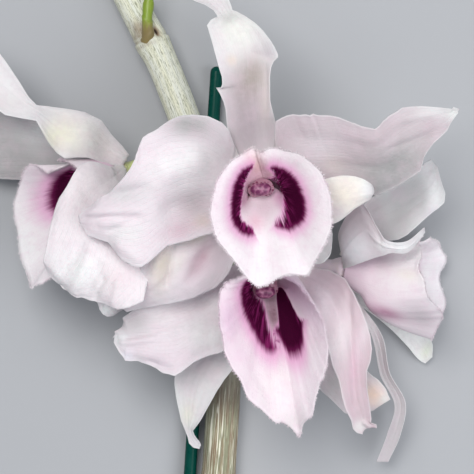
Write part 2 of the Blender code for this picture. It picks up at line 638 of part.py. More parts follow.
def main():
    for obj in list(bpy.data.objects):
        bpy.data.objects.remove(obj)
    root = bpy.data.objects.new("dendrobium", None)
    bpy.context.scene.collection.objects.link(root)

    finishes = {
        "petal": material("petal_white", (0.86, 0.80, 0.84), 0.55),
        "lip": material("lip_blush", (0.90, 0.74, 0.84), 0.7),
        "column": material("column_pink", (0.85, 0.68, 0.72), 0.4),
        "anther": material("anther_purple", (0.45, 0.16, 0.34), 0.4),
        "stalk": material("stalk_green", (0.66, 0.72, 0.42), 0.5),
        "cane": material("cane_silver", (0.62, 0.62, 0.48), 0.6),
        "shoot": material("shoot_green", (0.45, 0.62, 0.12), 0.45),
        "stake": material("stake_green", (0.02, 0.22, 0.19), 0.35),
        "tie": material("tie_green", (0.05, 0.25, 0.12), 0.4),
    }

    route = cane_route()
    tube("cane", route, cane_radius, CANE_SIDES, CANE_STEPS, finishes["cane"], root, lowest=0.0)
    stake = stake_line()
    tube("stake", stake, lambda t: STAKE_RADIUS, STAKE_SIDES, 1, finishes["stake"], root)
    stake_tie(route, finishes["tie"], root)

    front = front_bloom(finishes, root)
    lower = lower_bloom(finishes, root)
    left = left_bloom(finishes, root)
    right = right_bloom(finishes, root)

    stalks = (
        ("upper", NODE_SHARES[1], (0.3, 1),
         front, [(4.2, 14.2, 25.5)], left, [(-19.5, 18.8, 16.8)]),
        ("lower", NODE_SHARES[2], (0.5, 0.9),
         lower, [(5.2, -5.6, 14.5)],
         right, [(8.0, -17.0, 12.5), (18.0, -7.5, 15.0)]),
    )
    for name, share, (out, rise), first, first_bends, second, second_bends in stalks:
        along = direction(route, share)
        away = across(Vector((out, 0, rise)), along)
        foot = smooth(route, share) + away * (cane_radius(share) + SEAT_GAP)
        fork = foot + away * 1.6
        boss = tube(
            f"flower_stalk_{name}", [foot, fork, fork + away * 1.4],
            lambda t: smooth((2.2, 2.1, 1.2), t), 10, 3, finishes["stalk"], root,
        )
        fuse(
            boss,
            [
                pedicel("first", foot + away * 1.1, first_bends, first, finishes["stalk"], root),
                pedicel("second", foot + away * 1.8, second_bends, second, finishes["stalk"], root),
            ],
        )

    shoot_foot = smooth(route, NODE_SHARES[0])
    shoot_side = across(Vector((0.25, 0, 1)), direction(route, NODE_SHARES[0]))
    shoot_start = shoot_foot + shoot_side * (cane_radius(NODE_SHARES[0]) + SEAT_GAP)
    climb = -direction(route, NODE_SHARES[0])
    shoot = [
        shoot_start + shoot_side * 0.9,
        shoot_start + shoot_side * 2.2 + climb * 5,
        shoot_start + shoot_side * 2.8 + climb * 12 + Vector((0.5, 0, 0)),
        shoot_start + shoot_side * 4.2 + climb * 20 + Vector((2.0, 0, 0)),
    ]
    tube(
        "young_shoot", shoot, lambda t: smooth((0.9, 1.7, 1.5, 0.3), t), 10, 8,
        finishes["shoot"], root,
    )

    bpy.context.view_layer.update()
    graph = bpy.context.evaluated_depsgraph_get()
    corners = [
        obj.evaluated_get(graph).matrix_world @ Vector(corner)
        for obj in root.children
        for corner in obj.evaluated_get(graph).bound_box
    ]
    low = Vector([min(c[i] for c in corners) for i in range(3)])
    high = Vector([max(c[i] for c in corners) for i in range(3)])
    root.location = Vector((-(low.x + high.x) / 2, -(low.y + high.y) / 2, -low.z))


main()
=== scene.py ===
"""The looks of a cut dendrobium cane in bloom that lies on its back, tied to its stake.

Lengths are in millimetres in the layout of the cane: X to the right and Y up the cane as one looks
down on it, Z the height above the surface it lies on. Points of the blooms are given as they are seen
from straight above, and seen() moves each along its line of sight to its own height. Meshes are made
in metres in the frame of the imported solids, which is the layout moved by one shift.
"""

import logging
import math
from dataclasses import dataclass, field
from enum import Enum
from functools import cache
from typing import ClassVar

import bpy
import numpy as np
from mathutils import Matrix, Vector


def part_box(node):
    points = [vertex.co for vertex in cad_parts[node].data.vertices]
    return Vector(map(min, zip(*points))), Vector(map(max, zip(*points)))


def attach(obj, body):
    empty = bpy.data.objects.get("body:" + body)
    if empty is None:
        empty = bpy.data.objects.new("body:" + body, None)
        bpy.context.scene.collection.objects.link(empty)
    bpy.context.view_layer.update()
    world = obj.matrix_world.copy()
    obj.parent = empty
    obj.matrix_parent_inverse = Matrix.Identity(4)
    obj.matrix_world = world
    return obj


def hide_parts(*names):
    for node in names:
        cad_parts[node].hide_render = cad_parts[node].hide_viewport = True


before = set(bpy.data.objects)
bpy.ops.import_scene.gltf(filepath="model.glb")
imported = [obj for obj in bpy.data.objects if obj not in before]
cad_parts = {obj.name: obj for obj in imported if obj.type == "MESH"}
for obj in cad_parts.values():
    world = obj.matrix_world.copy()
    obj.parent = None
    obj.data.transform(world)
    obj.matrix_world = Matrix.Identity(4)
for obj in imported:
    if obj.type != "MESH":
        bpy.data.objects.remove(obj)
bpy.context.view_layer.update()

MM = 0.001
TRUE_SIZE_HEIGHT = 45.0  # what lies this high is seen at its true size
EYE_DISTANCE = 444.0  # from there up to the eye
STAKE_ENDS = ((-5.0, 42.6, 3.4), (-13.0, -78.0, 3.4))
TURN = 2 * math.pi
FAR_OUTSIDE = -9.0  # the depth of a point that lies in no blotch

Array = np.ndarray
Rgb = tuple[float, float, float]
Point = tuple[float, float, float]
Rib = tuple[float, float, float, float, float, float]
Line = tuple[tuple[float, float], ...]
log = logging.getLogger("orchid")

PEACH: Rgb = (0.84, 0.68, 0.56)
MINT: Rgb = (0.80, 0.84, 0.74)


class Slot(Enum):
    """The finishes of the record that the pieces take."""

    PETAL = "petal"
    LIP = "lip"
    COLUMN = "column"
    ANTHER = "anther"
    STALK = "stalk"
    CANE = "cane"
    SHOOT = "shoot"
    STAKE = "stake"
    TIE = "tie"


class Kind(Enum):
    """What a blade of a bloom is: its value is how far forward on the head it is rooted."""

    SEPAL = -1.3
    PETAL = 0.35


def spread(points: Array) -> Array:
    """How much further out points lie than they are seen from straight above."""
    return 1 + (TRUE_SIZE_HEIGHT - points[..., 2:3]) / EYE_DISTANCE


def seen(points: Array) -> Array:
    """Moves rows of x, y as seen and height along their lines of sight to their own heights."""
    points = np.asarray(points, float)
    return np.concatenate([points[..., :2] * spread(points), points[..., 2:3]], -1)


def as_seen(points: Array) -> Array:
    """Finds the x and y at which layout points are seen from straight above."""
    return points[..., :2] / spread(points)


def smooth(values: Array, t: Array) -> Array:
    """Reads a smooth curve through evenly spaced values.

    Args:
        values: the values, numbers or points, along the first axis.
        t: places from 0 to 1.

    Returns:
        The value at each place.
    """
    values = np.asarray(values, float)
    t = np.asarray(t, float)
    last = len(values) - 1
    place = np.clip(t, 0, 1) * last
    i = np.minimum(place.astype(int), last - 1)
    f = (place - i).reshape(t.shape + (1,) * (values.ndim - 1))
    b, c = values[i], values[i + 1]
    a = np.where((i > 0).reshape(f.shape), values[np.maximum(i - 1, 0)], 2 * b - c)
    d = np.where((i + 2 <= last).reshape(f.shape), values[np.minimum(i + 2, last)], 2 * c - b)
    return (
        b
        + (c - a) * (0.5 * f)
        + (a * 2 - b * 5 + c * 4 - d) * (0.5 * f * f)
        + (b * 3 - a - c * 3 + d) * (0.5 * f * f * f)
    )


def unit(vectors: Array) -> Array:
    """Gives vectors, along the last axis, unit length."""
    return vectors / np.maximum(np.linalg.norm(vectors, axis=-1, keepdims=True), 1e-9)


def square_to(vectors: Array, axis: Array) -> Array:
    """The directions of vectors when what runs along an axis is taken out of them."""
    return unit(vectors - axis * (vectors @ axis)[..., None])


def heading(points: Array, t: Array, step: float = 0.01) -> Array:
    """The unit vectors along the smooth curve through points, at places from 0 to 1."""
    return unit(smooth(points, np.minimum(t + step, 1)) - smooth(points, np.maximum(t - step, 0)))


def ease(low: float, high: float, value: Array) -> Array:
    """A smooth step from 0 at low to 1 at high."""
    share = np.clip((np.asarray(value, float) - low) / (high - low), 0, 1)
    return share * share * (3 - 2 * share)


def bell(value: Array, width: float) -> Array:
    """A soft hump that is 1 where the value is 0 and fades over the width."""
    return np.exp(-((value / width) ** 2))


def around(sides: int) -> Array:
    """The angles of a ring's corners."""
    return TURN * np.arange(sides) / sides


def grid_normals(points: Array) -> Array:
    """The unit normals of a grid of points: its columns' direction crossed with its rows'."""
    return unit(np.cross(np.gradient(points, axis=1), np.gradient(points, axis=0)))


def waves(seed: int, x: Array, y: Array, count: int = 10) -> Array:
    """Soft even noise, a sum of slanted sine waves.

    Args:
        seed: which pattern.
        x: first coordinate, one unit a typical hump.
        y: second coordinate.
        count: how many waves are summed.

    Returns:
        Values around 0, mostly within -1 and 1.
    """
    rng = np.random.default_rng(seed)
    total = np.zeros(np.broadcast(x, y).shape)
    for _ in range(count):
        turn, pace, phase = rng.uniform(0, 6.28), rng.uniform(1.6, 4.6), rng.uniform(0, 6.28)
        total += np.sin(pace * (math.cos(turn) * x + math.sin(turn) * y) + phase)
    return total * (1.4 / count)


def seed_of(name: str, first: int) -> int:
    """A seed that a piece's name settles, its letters weighted from first upwards."""
    return sum(ord(letter) * weight for weight, letter in enumerate(name, first))


def blend(ground: Array | Rgb, over: Rgb, share: Array) -> Array:
    """Mixes a colour, or a grid of colours, with another one by a grid of shares."""
    share = share[..., None]
    return np.array(ground) * (1 - share) + np.array(over) * share


class Layout:
    """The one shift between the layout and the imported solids."""

    def __init__(self) -> None:
        """Finds the shift from the stake, which is straight."""
        low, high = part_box("stake")
        self.shift: Array = np.array((low + high) / 2) - seen(np.array(STAKE_ENDS)).mean(0) * MM

    def metres(self, points: Array) -> Array:
        """Layout millimetres to metres in the frame."""
        return np.asarray(points, float) * MM + self.shift


LAYOUT = Layout()


class MeshPlan:
    """Points, faces and per-point values that are gathered before one mesh is made of them."""

    def __init__(self) -> None:
        """Starts empty."""
        self.points: list[Array] = []
        self.faces: list[list[int]] = []
        self.values: dict[str, list[Array]] = {}
        self.count = 0

    def add(self, points: Array, faces: Array, **values: Array) -> int:
        """Adds a part of the mesh.

        Args:
            points: rows of layout points.
            faces: rows of indices into these points.
            values: per-point numbers or colours by name.

        Returns:
            The index of the first added point in the whole mesh.
        """
        start = self.count
        self.points.append(np.asarray(points, float).reshape(-1, 3))
        self.faces += (np.asarray(faces, int) + start).tolist()
        for name, value in values.items():
            self.values.setdefault(name, []).append(np.asarray(value, float))
        self.count += len(self.points[-1])
        return start

    def build(self, name: str, slot: Slot, node: str) -> None:
        """Makes the mesh object, dresses it and binds it to the frame.

        Args:
            name: the piece's name.
            slot: the record's slot that it takes its finish from.
            node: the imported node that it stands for.
        """
        mesh = bpy.data.meshes.new(name)
        mesh.from_pydata(LAYOUT.metres(np.concatenate(self.points)).tolist(), [], self.faces)
        for key, parts in self.values.items():
            whole, kind, part = np.concatenate(parts), "FLOAT", "value"
            if whole.ndim == 2:
                whole, kind, part = np.column_stack([whole, np.ones(len(whole))]), "FLOAT_COLOR", "color"
            layer = mesh.attributes.new(key, kind, "POINT")
            layer.data.foreach_set(part, whole.astype(np.float32).ravel())
        mesh.materials.append(finish(slot))
        mesh.shade_smooth()
        mesh.update()
        piece = bpy.data.objects.new(name, mesh)
        bpy.context.scene.collection.objects.link(piece)
        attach(piece, "root")
        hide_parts(node)
        log.info("%s: %d points, %d faces", name, len(mesh.vertices), len(mesh.polygons))


def grid_faces(rows: int, columns: int, closed: bool = False, flip: bool = False) -> Array:
    """Lists the quads of a grid of points.

    Args:
        rows: points along the first axis.
        columns: points along the second axis.
        closed: whether the last column joins the first.
        flip: whether the quads face the other way.

    Returns:
        Rows of four indices.
    """
    i = np.arange(rows - 1)[:, None] * columns
    j = np.arange(columns if closed else columns - 1)[None, :]
    k = (j + 1) % columns
    quads = np.stack([i + j, i + k, i + columns + k, i + columns + j], -1).reshape(-1, 4)
    return quads[:, ::-1] if flip else quads


def add_shell(plan: MeshPlan, middle: Array, thickness: Array, flip: bool, **values: Array) -> None:
    """Adds a thin closed sheet: an inner and an outer face, joined along the margins.

    Args:
        plan: the mesh that it goes into.
        middle: the grid of points half way through the sheet.
        thickness: its thickness at each point.
        flip: whether the inner face is the one that the grid's normals point away from.
        values: per-point values, alike on both faces.
    """
    rows, columns = middle.shape[:2]
    half = grid_normals(middle) * (-1 if flip else 1) * thickness[..., None] / 2
    count = rows * columns
    index = np.arange(count).reshape(rows, columns)
    rim = np.concatenate([index[0, :-1], index[:-1, -1], index[-1, :0:-1], index[:0:-1, 0]])
    ahead = np.roll(rim, -1)
    band = np.stack([rim, rim + count, ahead + count, ahead], -1)
    inner = grid_faces(rows, columns, flip=flip)
    outer = grid_faces(rows, columns, flip=not flip) + count
    faces = np.concatenate([inner, outer, band[:, ::-1] if flip else band])
    both = {key: np.concatenate([v.reshape(count, *v.shape[2:])] * 2) for key, v in values.items()}
    plan.add(np.concatenate([middle + half, middle - half]), faces, **both)


def add_tube(
    plan: MeshPlan, route: Array, radius: Array, sides: int, oval: float = 1.0,
    up: Point = (0.0, 0.0, 1.0), lowest: float = -math.inf, **extra: Array | float,
) -> None:
    """Adds a round stem along a line of points, closed at both ends.

    Args:
        plan: the mesh that it goes into.
        route: the points of its centreline.
        radius: its radius, one number a point, or a point and side.
        sides: how many sides it has.
        oval: how much wider it is across than along up.
        up: roughly where its first side's quarter turn points.
        lowest: the height below which it is pressed flat.
        extra: further per-point values, each one number or a grid of points by sides.
    """
    steps = len(route)
    radius = np.broadcast_to(np.asarray(radius, float).reshape(steps, -1), (steps, sides))
    along = unit(np.gradient(route, axis=0))
    side = np.cross(along[0], up)
    frames = []
    for step in along:
        side = square_to(side, step)
        frames.append((side, np.cross(side, step)))
    across, lift = np.array(frames).transpose(1, 0, 2)[:, :, None]
    angle = around(sides)
    ring = across * np.cos(angle)[None, :, None] * oval + lift * np.sin(angle)[None, :, None]
    points = route[:, None] + ring * radius[..., None]
    points[..., 2] = np.maximum(points[..., 2], lowest)
    values = {"along": np.linspace(0, 1, steps)[:, None], "turn": angle[None], **extra}
    flat = {key: np.broadcast_to(value, (steps, sides)).ravel() for key, value in values.items()}
    start = plan.add(points, grid_faces(steps, sides, closed=True), **flat)
    ends = np.arange(start, start + steps * sides).reshape(steps, sides)
    plan.faces += [ends[0, ::-1].tolist(), ends[-1].tolist()]


class Tone:
    """An output of a material's nodes, on which arithmetic adds further nodes."""

    def __init__(self, graph: "Graph", socket: bpy.types.NodeSocket) -> None:
        """Wraps an output of the graph's nodes."""
        self.graph = graph
        self.socket = socket

    def math(self, operation: str, other: "Tone | float" = 0.0, clamp: bool = False) -> "Tone":
        """One step of arithmetic, such as SINE, POWER or MAXIMUM."""
        return self.graph.node("Math", {0: self, 1: other}, operation=operation, use_clamp=clamp)

    def __add__(self, other: "Tone | float") -> "Tone":
        """Adds a value."""
        return self.math("ADD", other)

    def __sub__(self, other: "Tone | float") -> "Tone":
        """Takes a value away."""
        return self.math("SUBTRACT", other)

    def __mul__(self, other: "Tone | float") -> "Tone":
        """Multiplies by a value."""
        return self.math("MULTIPLY", other)

    def __truediv__(self, other: "Tone | float") -> "Tone":
        """Divides by a value."""
        return self.math("DIVIDE", other)

    def __abs__(self) -> "Tone":
        """Drops the sign."""
        return self.math("ABSOLUTE")

    def step(self, low: float, high: float, first: float = 0.0, last: float = 1.0) -> "Tone":
        """A smooth step of this value, from first where it is low to last where it is high."""
        inputs = dict(enumerate((self, low, high, first, last)))
        return self.graph.node("MapRange", inputs, interpolation_type="SMOOTHSTEP")


class Graph:
    """A material's node tree with short calls for the nodes that the finishes use."""

    def __init__(self, name: str, roughness: float, **sockets: float | tuple[float, ...]) -> None:
        """Makes a material with one surface shader.

        Args:
            name: the material's name.
            roughness: the shader's roughness where nothing is linked to it.
            sockets: further values of the shader's sockets, spaces written as underscores.
        """
        self.material = bpy.data.materials.new(name)
        self.material.use_nodes = True
        self.tree = self.material.node_tree
        self.shader = self.tree.nodes["Principled BSDF"]
        self.shader.inputs["Roughness"].default_value = roughness
        for key, value in sockets.items():
            self.shader.inputs[key.replace("_", " ")].default_value = value

    def put(self, socket: bpy.types.NodeSocket, value: Tone | Rgb | float) -> None:
        """Links an output to a socket, or sets the socket's own value.

        Args:
            socket: the node's input.
            value: the output, or a colour or number for the whole surface.
        """
        if isinstance(value, Tone):
            self.tree.links.new(value.socket, socket)
        else:
            socket.default_value = (*value, 1) if socket.type == "RGBA" else value

    def node(
        self, kind: str, inputs: dict[int | str, Tone | Rgb | float], out: int | str = 0,
        **settings: str | bool,
    ) -> Tone:
        """Adds a node.

        Args:
            kind: its type, without the leading ShaderNode.
            inputs: values or outputs for its inputs, by name or number.
            out: the name or number of the output that is used.
            settings: the node's own settings by name.

        Returns:
            That output.
        """
        node = self.tree.nodes.new("ShaderNode" + kind)
        for key, value in settings.items():
            setattr(node, key, value)
        for key, value in inputs.items():
            self.put(node.inputs[key], value)
        return Tone(self, node.outputs[out])

    def value(self, name: str, out: str = "Fac") -> Tone:
        """A per-point value of the mesh: a number, or with the output Color a colour."""
        return self.node("Attribute", {}, out, attribute_name=name)

    def place(self) -> Tone:
        """The point's place in metres."""
        return self.node("TexCoord", {}, "Object")

    def noise(self, where: Tone, scale: float, detail: float, rough: float) -> Tone:
        """Soft noise from 0 to 1 over a vector."""
        inputs = {"Vector": where, "Scale": scale, "Detail": detail, "Roughness": rough}
        return self.node("TexNoise", inputs, "Fac")

    def cloud(self, scale: float, detail: float, rough: float = 0.5) -> Tone:
        """Soft noise in space, so many humps a metre."""
        return self.noise(self.place(), scale, detail, rough)

    def grain(self, x: Tone, y: Tone, detail: float, rough: float = 0.5, z: Tone | float = 0.0) -> Tone:
        """Soft noise over values of the mesh, one unit a hump, so that it can be drawn out."""
        return self.noise(self.node("CombineXYZ", {0: x, 1: y, 2: z}), 1.0, detail, rough)

    def cells(self, scale: float) -> Tone:
        """The distance from the nearest of scattered points, so many a metre."""
        return self.node("TexVoronoi", {"Vector": self.place(), "Scale": scale}, "Distance")

    def mix(self, share: Tone, ground: Tone | Rgb, over: Tone | Rgb) -> Tone:
        """Mixes two colours."""
        return self.node("Mix", {0: share, 6: ground, 7: over}, 2, data_type="RGBA")

    def glow(self, weight: float, colours: Rgb, millimetres: float) -> None:
        """Lets light into the surface: how much, how far in each colour, and at what scale."""
        for key, value in (("Weight", weight), ("Radius", colours), ("Scale", millimetres * MM)):
            self.shader.inputs["Subsurface " + key].default_value = value

    def relief(self, height: Tone, millimetres: float, strength: float) -> None:
        """Gives the surface a fine relief of that height."""
        inputs = {"Strength": strength, "Distance": millimetres * MM, "Height": height}
        self.put(self.shader.inputs["Normal"], self.node("Bump", inputs))

    def finish(self, colour: Tone, roughness: Tone | None = None) -> bpy.types.Material:
        """Links the surface colour, and the roughness if it varies.

        Args:
            colour: the colour's output.
            roughness: the roughness's output, or None for the shader's own value.

        Returns:
            The material.
        """
        self.put(self.shader.inputs["Base Color"], colour)
        if roughness is not None:
            self.put(self.shader.inputs["Roughness"], roughness)
        return self.material


@dataclass(frozen=True)
class PetalSkin:
    """Thin, faintly glistening petal tissue with fine parallel veins, and painted light along its thin
    margins.
    """

    vein_colour: Rgb = (0.56, 0.44, 0.51)
    flush: Rgb = (0.76, 0.60, 0.68)
    shade: Rgb = (0.58, 0.55, 0.56)
    # painted light: the bright rim colour along the thin margins, where light shows through
    margin: Rgb = (0.93, 0.92, 0.92)
    veins: float = 9.0
    roughness: float = 0.5

    def material(self) -> bpy.types.Material:
        """Builds the material from the mesh's own "across", "along", "edge" and "tint".

        Returns:
            The material.
        """
        sheen = {"Sheen_Weight": 0.1, "Sheen_Roughness": 0.5}
        g = Graph("petal_skin", self.roughness, Specular_IOR_Level=0.3, **sheen)
        g.glow(0.2, (1.0, 0.7, 0.75), 1.1)
        across, along = g.value("across"), g.value("along")
        fan = across / (along * 0.78 + 0.42)
        lines = fan * self.veins + g.grain(across * 2.2, along * 5, 3) * 1.4
        veins, twigs = (abs((lines * (pace * math.pi)).math("SINE")) for pace in (1, 3))
        vein = veins.step(0.42, 0).math("MAXIMUM", twigs.step(0.7, 0) * 0.45)
        patchy = g.cloud(130, 2).step(0.4, 0.7, 0.1, 1)
        mottle, grain = g.cloud(760, 3, 0.6), g.cloud(2600, 2)
        colour = g.mix(g.cloud(210, 4, 0.6).step(0.38, 0.7, 0, 0.24), g.value("tint", "Color"), self.flush)
        colour = g.mix(mottle.step(0.42, 0.7, 0, 0.15), colour, self.shade)
        # painted light: a bright rim within half a millimetre of each margin
        colour = g.mix(g.value("edge").step(0.5, 0.05, 0, 0.28), colour, self.margin)
        colour = g.mix(vein * patchy * 0.075, colour, self.vein_colour)
        g.relief(vein * -0.5 + (grain * 0.3 + mottle * 0.9), 0.2, 0.55)
        return g.finish(colour, grain.step(0.2, 0.8, self.roughness - 0.08, self.roughness + 0.14))


@dataclass(frozen=True)
class LipDown:
    """The downy lip: white and blush, with a feathered purple blotch each side of its throat."""

    white: Rgb = (0.88, 0.845, 0.86)
    blush: Rgb = (0.80, 0.57, 0.69)
    halo: Rgb = (0.74, 0.27, 0.56)
    purple: Rgb = (0.046, 0.0008, 0.020)
    magenta: Rgb = (0.26, 0.022, 0.135)

    def material(self) -> bpy.types.Material:
        """Builds it from the mesh's "across", "along", "tint", "rimward" and "throatward".

        Returns:
            The material.
        """
        g = Graph("lip_down", 0.7, Specular_IOR_Level=0.05)
        g.glow(0.05, (1.0, 0.6, 0.7), 1.0)
        across, along = g.value("across"), g.value("along")
        streaks = g.grain(across * 34, along * 8, 2, 0.6)
        fine = g.grain(across * 85, along * 7, 2)
        jagged = streaks * 0.6 + fine * 0.4 - 0.5
        high = g.value("rimward") + jagged * 0.9
        low = g.value("throatward") + jagged * 3.4
        inside = high.math("MINIMUM", low).step(-0.5, 0.45)
        inward = streaks.step(0.46, 0.62) * low.step(3.2, 0.2, 0, 0.9)
        brim = high.step(0.9, 0, 0, 0.5)
        dark = g.mix(inward.math("MAXIMUM", brim), self.purple, self.magenta)
        halo = high.math("MINIMUM", g.value("throatward") * 2.4).step(-2.8, 0.1).math("POWER", 1.8)
        colour = g.mix(halo * 0.7, g.value("tint", "Color"), self.halo)
        colour = g.mix(fine.step(0.5, 0.8) * 0.14, colour, self.blush)
        colour = g.mix(g.cloud(420, 4, 0.6).step(0.42, 0.72, 0, 0.22), colour, self.blush)
        g.relief(g.cloud(2400, 3) * 0.8 + fine * 0.4, 0.24, 0.6)
        return g.finish(g.mix(inside, colour, dark))


@dataclass(frozen=True)
class ColumnWax:
    """The waxy column: pale at its foot, peach further up, mauve and spotted round its end."""

    pale: Rgb = (0.70, 0.52, 0.55)
    peach: Rgb = (0.60, 0.37, 0.43)
    mauve: Rgb = (0.36, 0.17, 0.24)
    purple: Rgb = (0.16, 0.012, 0.07)

    def material(self) -> bpy.types.Material:
        """Builds the material along the column's length.

        Returns:
            The material.
        """
        g = Graph("column_wax", 0.35)
        g.glow(0.2, (1.0, 0.5, 0.5), 1.0)
        along = g.value("along")
        ground = g.mix(along.step(0.1, 0.7), self.pale, self.peach)
        ground = g.mix(along.step(0.78, 0.97, 0, 0.8), ground, self.mauve)
        spots = g.cells(1000).step(0.42, 0.2, 0, 0.8) * along.step(0.72, 0.98)
        g.relief(g.cloud(1500, 3), 0.1, 0.4)
        return g.finish(g.mix(spots, ground, self.purple))


@dataclass(frozen=True)
class AntherWax:
    """The anther cap: blush, thickly spotted with dark purple."""

    blush: Rgb = (0.47, 0.20, 0.31)
    purple: Rgb = (0.13, 0.014, 0.075)

    def material(self) -> bpy.types.Material:
        """Builds the spotted material.

        Returns:
            The material.
        """
        g = Graph("anther_wax", 0.38)
        g.glow(0.12, (1.0, 0.4, 0.5), 0.8)
        blur = g.cloud(1100, 3)
        g.relief(blur, 0.16, 0.5)
        spots = (g.cells(900) + blur * 0.7).step(1.4, 0.65, 0, 0.95)
        return g.finish(g.mix(spots, self.blush, self.purple))


@dataclass(frozen=True)
class StalkSkin:
    """Fresh stalk skin, yellow-green with a pink cast, and pale pink on the bloom's head."""

    green: Rgb = (0.46, 0.52, 0.20)
    pale: Rgb = (0.62, 0.68, 0.30)
    pink: Rgb = (0.66, 0.42, 0.46)
    head: Rgb = (0.78, 0.66, 0.71)

    def material(self) -> bpy.types.Material:
        """Builds the material along the stalk's length from the mesh's "blush".

        Returns:
            The material.
        """
        g = Graph("stalk_skin", 0.42)
        g.glow(0.12, (0.8, 0.9, 0.3), 0.8)
        along = g.value("along")
        ground = g.mix(along.step(0.1, 0.9), self.green, self.pale)
        blushed = g.mix(g.cloud(330, 4).step(0.45, 0.75) * 0.45, ground, self.pink)
        g.relief(g.grain(g.value("turn") * 5, along * 4, 3), 0.12, 0.5)
        return g.finish(g.mix(g.value("blush").step(0.3, 0.7), blushed, self.head))


@dataclass(frozen=True)
class CaneSheath:
    """The dry striped sheath over the cane: silvery cream, grey-green and brown lines, with a painted shadow
    where it runs under the lower bloom and painted shade in its pit.
    """

    cream: Rgb = (0.84, 0.84, 0.66)
    silver: Rgb = (0.86, 0.88, 0.79)
    moss: Rgb = (0.42, 0.44, 0.30)
    olive: Rgb = (0.27, 0.28, 0.18)
    brown: Rgb = (0.27, 0.19, 0.12)
    straw: Rgb = (0.56, 0.54, 0.38)
    # painted shadow: the dark brown of the band where the cane runs under the lower bloom
    painted_shadow: Rgb = (0.09, 0.07, 0.055)
    ivory: Rgb = (0.92, 0.90, 0.74)
    # painted shade: the near black inside the pit
    hollow: Rgb = (0.035, 0.02, 0.012)

    def material(self) -> bpy.types.Material:
        """Builds the striped material from the mesh's "along", "turn", "node" and "age".

        Returns:
            The material.
        """
        g = Graph("cane_sheath", 0.5, Specular_IOR_Level=0.35)
        along, turn, node = g.value("along"), g.value("turn"), g.value("node")
        one, two = turn.math("COSINE"), turn.math("SINE")
        broad, fine, dashes, lines = (
            g.grain(one * pace, two * pace, detail, 0.6, along * run)
            for pace, run, detail in ((3, 9, 3), (14, 26, 3), (22, 90, 2), (5, 6, 1))
        )
        young = g.mix(broad.step(0.35, 0.65), self.cream, self.silver)
        young = g.mix(fine.step(0.5, 0.64, 0, 0.55), young, self.moss)
        young = g.mix(dashes.step(0.54, 0.64, 0, 0.8), young, self.olive)
        old = g.mix(broad.step(0.38, 0.62), self.olive, self.brown)
        old = g.mix(fine.step(0.48, 0.62, 0, 0.7), old, self.straw)
        old = g.mix(dashes.step(0.56, 0.66, 0, 0.6), old, self.brown)
        old = g.mix(abs(lines - 0.5).step(0.026, 0.01, 0, 0.95), old, self.ivory)
        # painted shadow: a dark brown band along the cane where it runs under the lower bloom
        old = g.mix(along.step(0.62, 0.72) * along.step(0.83, 0.765, 0, 0.72), old, self.painted_shadow)
        ground = g.mix(g.value("age"), young, old)
        scar = node.math("MULTIPLY", g.cloud(420, 4).step(0.3, 0.6, 0.55, 1), clamp=True)
        # the pit, where node goes past 1, is painted near black: painted shade in its hollow
        colour = g.mix(node.step(1, 1.5), g.mix(scar, ground, self.brown), self.hollow)
        g.relief(fine * 0.8 + dashes * 0.5, 0.3, 0.6)
        return g.finish(colour, fine.step(0.3, 0.7, 0.4, 0.62))


@dataclass(frozen=True)
class ShootSkin:
    """Glossy young green, yellower towards its foot, which a dry brown husk wraps."""

    green: Rgb = (0.22, 0.34, 0.025)
    yellow: Rgb = (0.36, 0.38, 0.06)
    husk: Rgb = (0.26, 0.20, 0.08)

    def material(self) -> bpy.types.Material:
        """Builds the material along the shoot's length.

        Returns:
            The material.
        """
        g = Graph("shoot_skin", 0.36)
        g.glow(0.15, (0.6, 1.0, 0.2), 0.8)
        along = g.value("along")
        cloud = g.grain(g.value("turn") * 3, along * 9, 3)
        young = g.mix(along.step(0.42, 0.2).math("ADD", cloud * 0.35, clamp=True), self.green, self.yellow)
        g.relief(cloud, 0.15, 0.5)
        return g.finish(g.mix((along + cloud * 0.16).step(0.5, 0.32), young, self.husk))


@dataclass(frozen=True)
class StakeCoat:
    """A smooth dark green plastic coat, a little dusty."""

    green: Rgb = (0.001, 0.06, 0.046)
    dust: Rgb = (0.008, 0.10, 0.08)

    def material(self) -> bpy.types.Material:
        """Builds the coat with faint dust and scuffs.

        Returns:
            The material.
        """
        g = Graph("stake_coat", 0.3, Specular_IOR_Level=0.1)
        cloud = g.cloud(260, 5, 0.6)
        g.relief(g.grain(g.value("turn") * 2, g.value("along") * 90, 4), 0.06, 0.4)
        dusty = g.mix(cloud.step(0.45, 0.8) * 0.35, self.green, self.dust)
        return g.finish(dusty, cloud.step(0.3, 0.7, 0.22, 0.45))


@dataclass(frozen=True)
class TieCoat:
    """The dull green coat of the tie's wire, worn paler in places."""

    green: Rgb = (0.02, 0.13, 0.04)
    worn: Rgb = (0.10, 0.26, 0.10)

    def material(self) -> bpy.types.Material:
        """Builds the coat.

        Returns:
            The material.
        """
        g = Graph("tie_coat", 0.42)
        cloud = g.cloud(1300, 3)
        g.relief(cloud, 0.1, 0.5)
        return g.finish(g.mix(cloud.step(0.4, 0.7, 0, 0.6), self.green, self.worn))


@dataclass(frozen=True)
class StudioPaper:
    """The plain pale paper that the cane lies on."""

    tone: Rgb = (0.44, 0.45, 0.47)

    def material(self) -> bpy.types.Material:
        """Builds the paper, its tone set on the shader itself."""
        return Graph("studio_paper", 0.9, Base_Color=(*self.tone, 1.0)).material


SKINS = {
    Slot.PETAL: PetalSkin, Slot.LIP: LipDown, Slot.COLUMN: ColumnWax, Slot.ANTHER: AntherWax,
    Slot.STALK: StalkSkin, Slot.CANE: CaneSheath, Slot.SHOOT: ShootSkin, Slot.STAKE: StakeCoat,
    Slot.TIE: TieCoat,
}


@cache
def finish(slot: Slot) -> bpy.types.Material:
    """The one material of a slot, made when it is first asked for."""
    return SKINS[slot]().material()


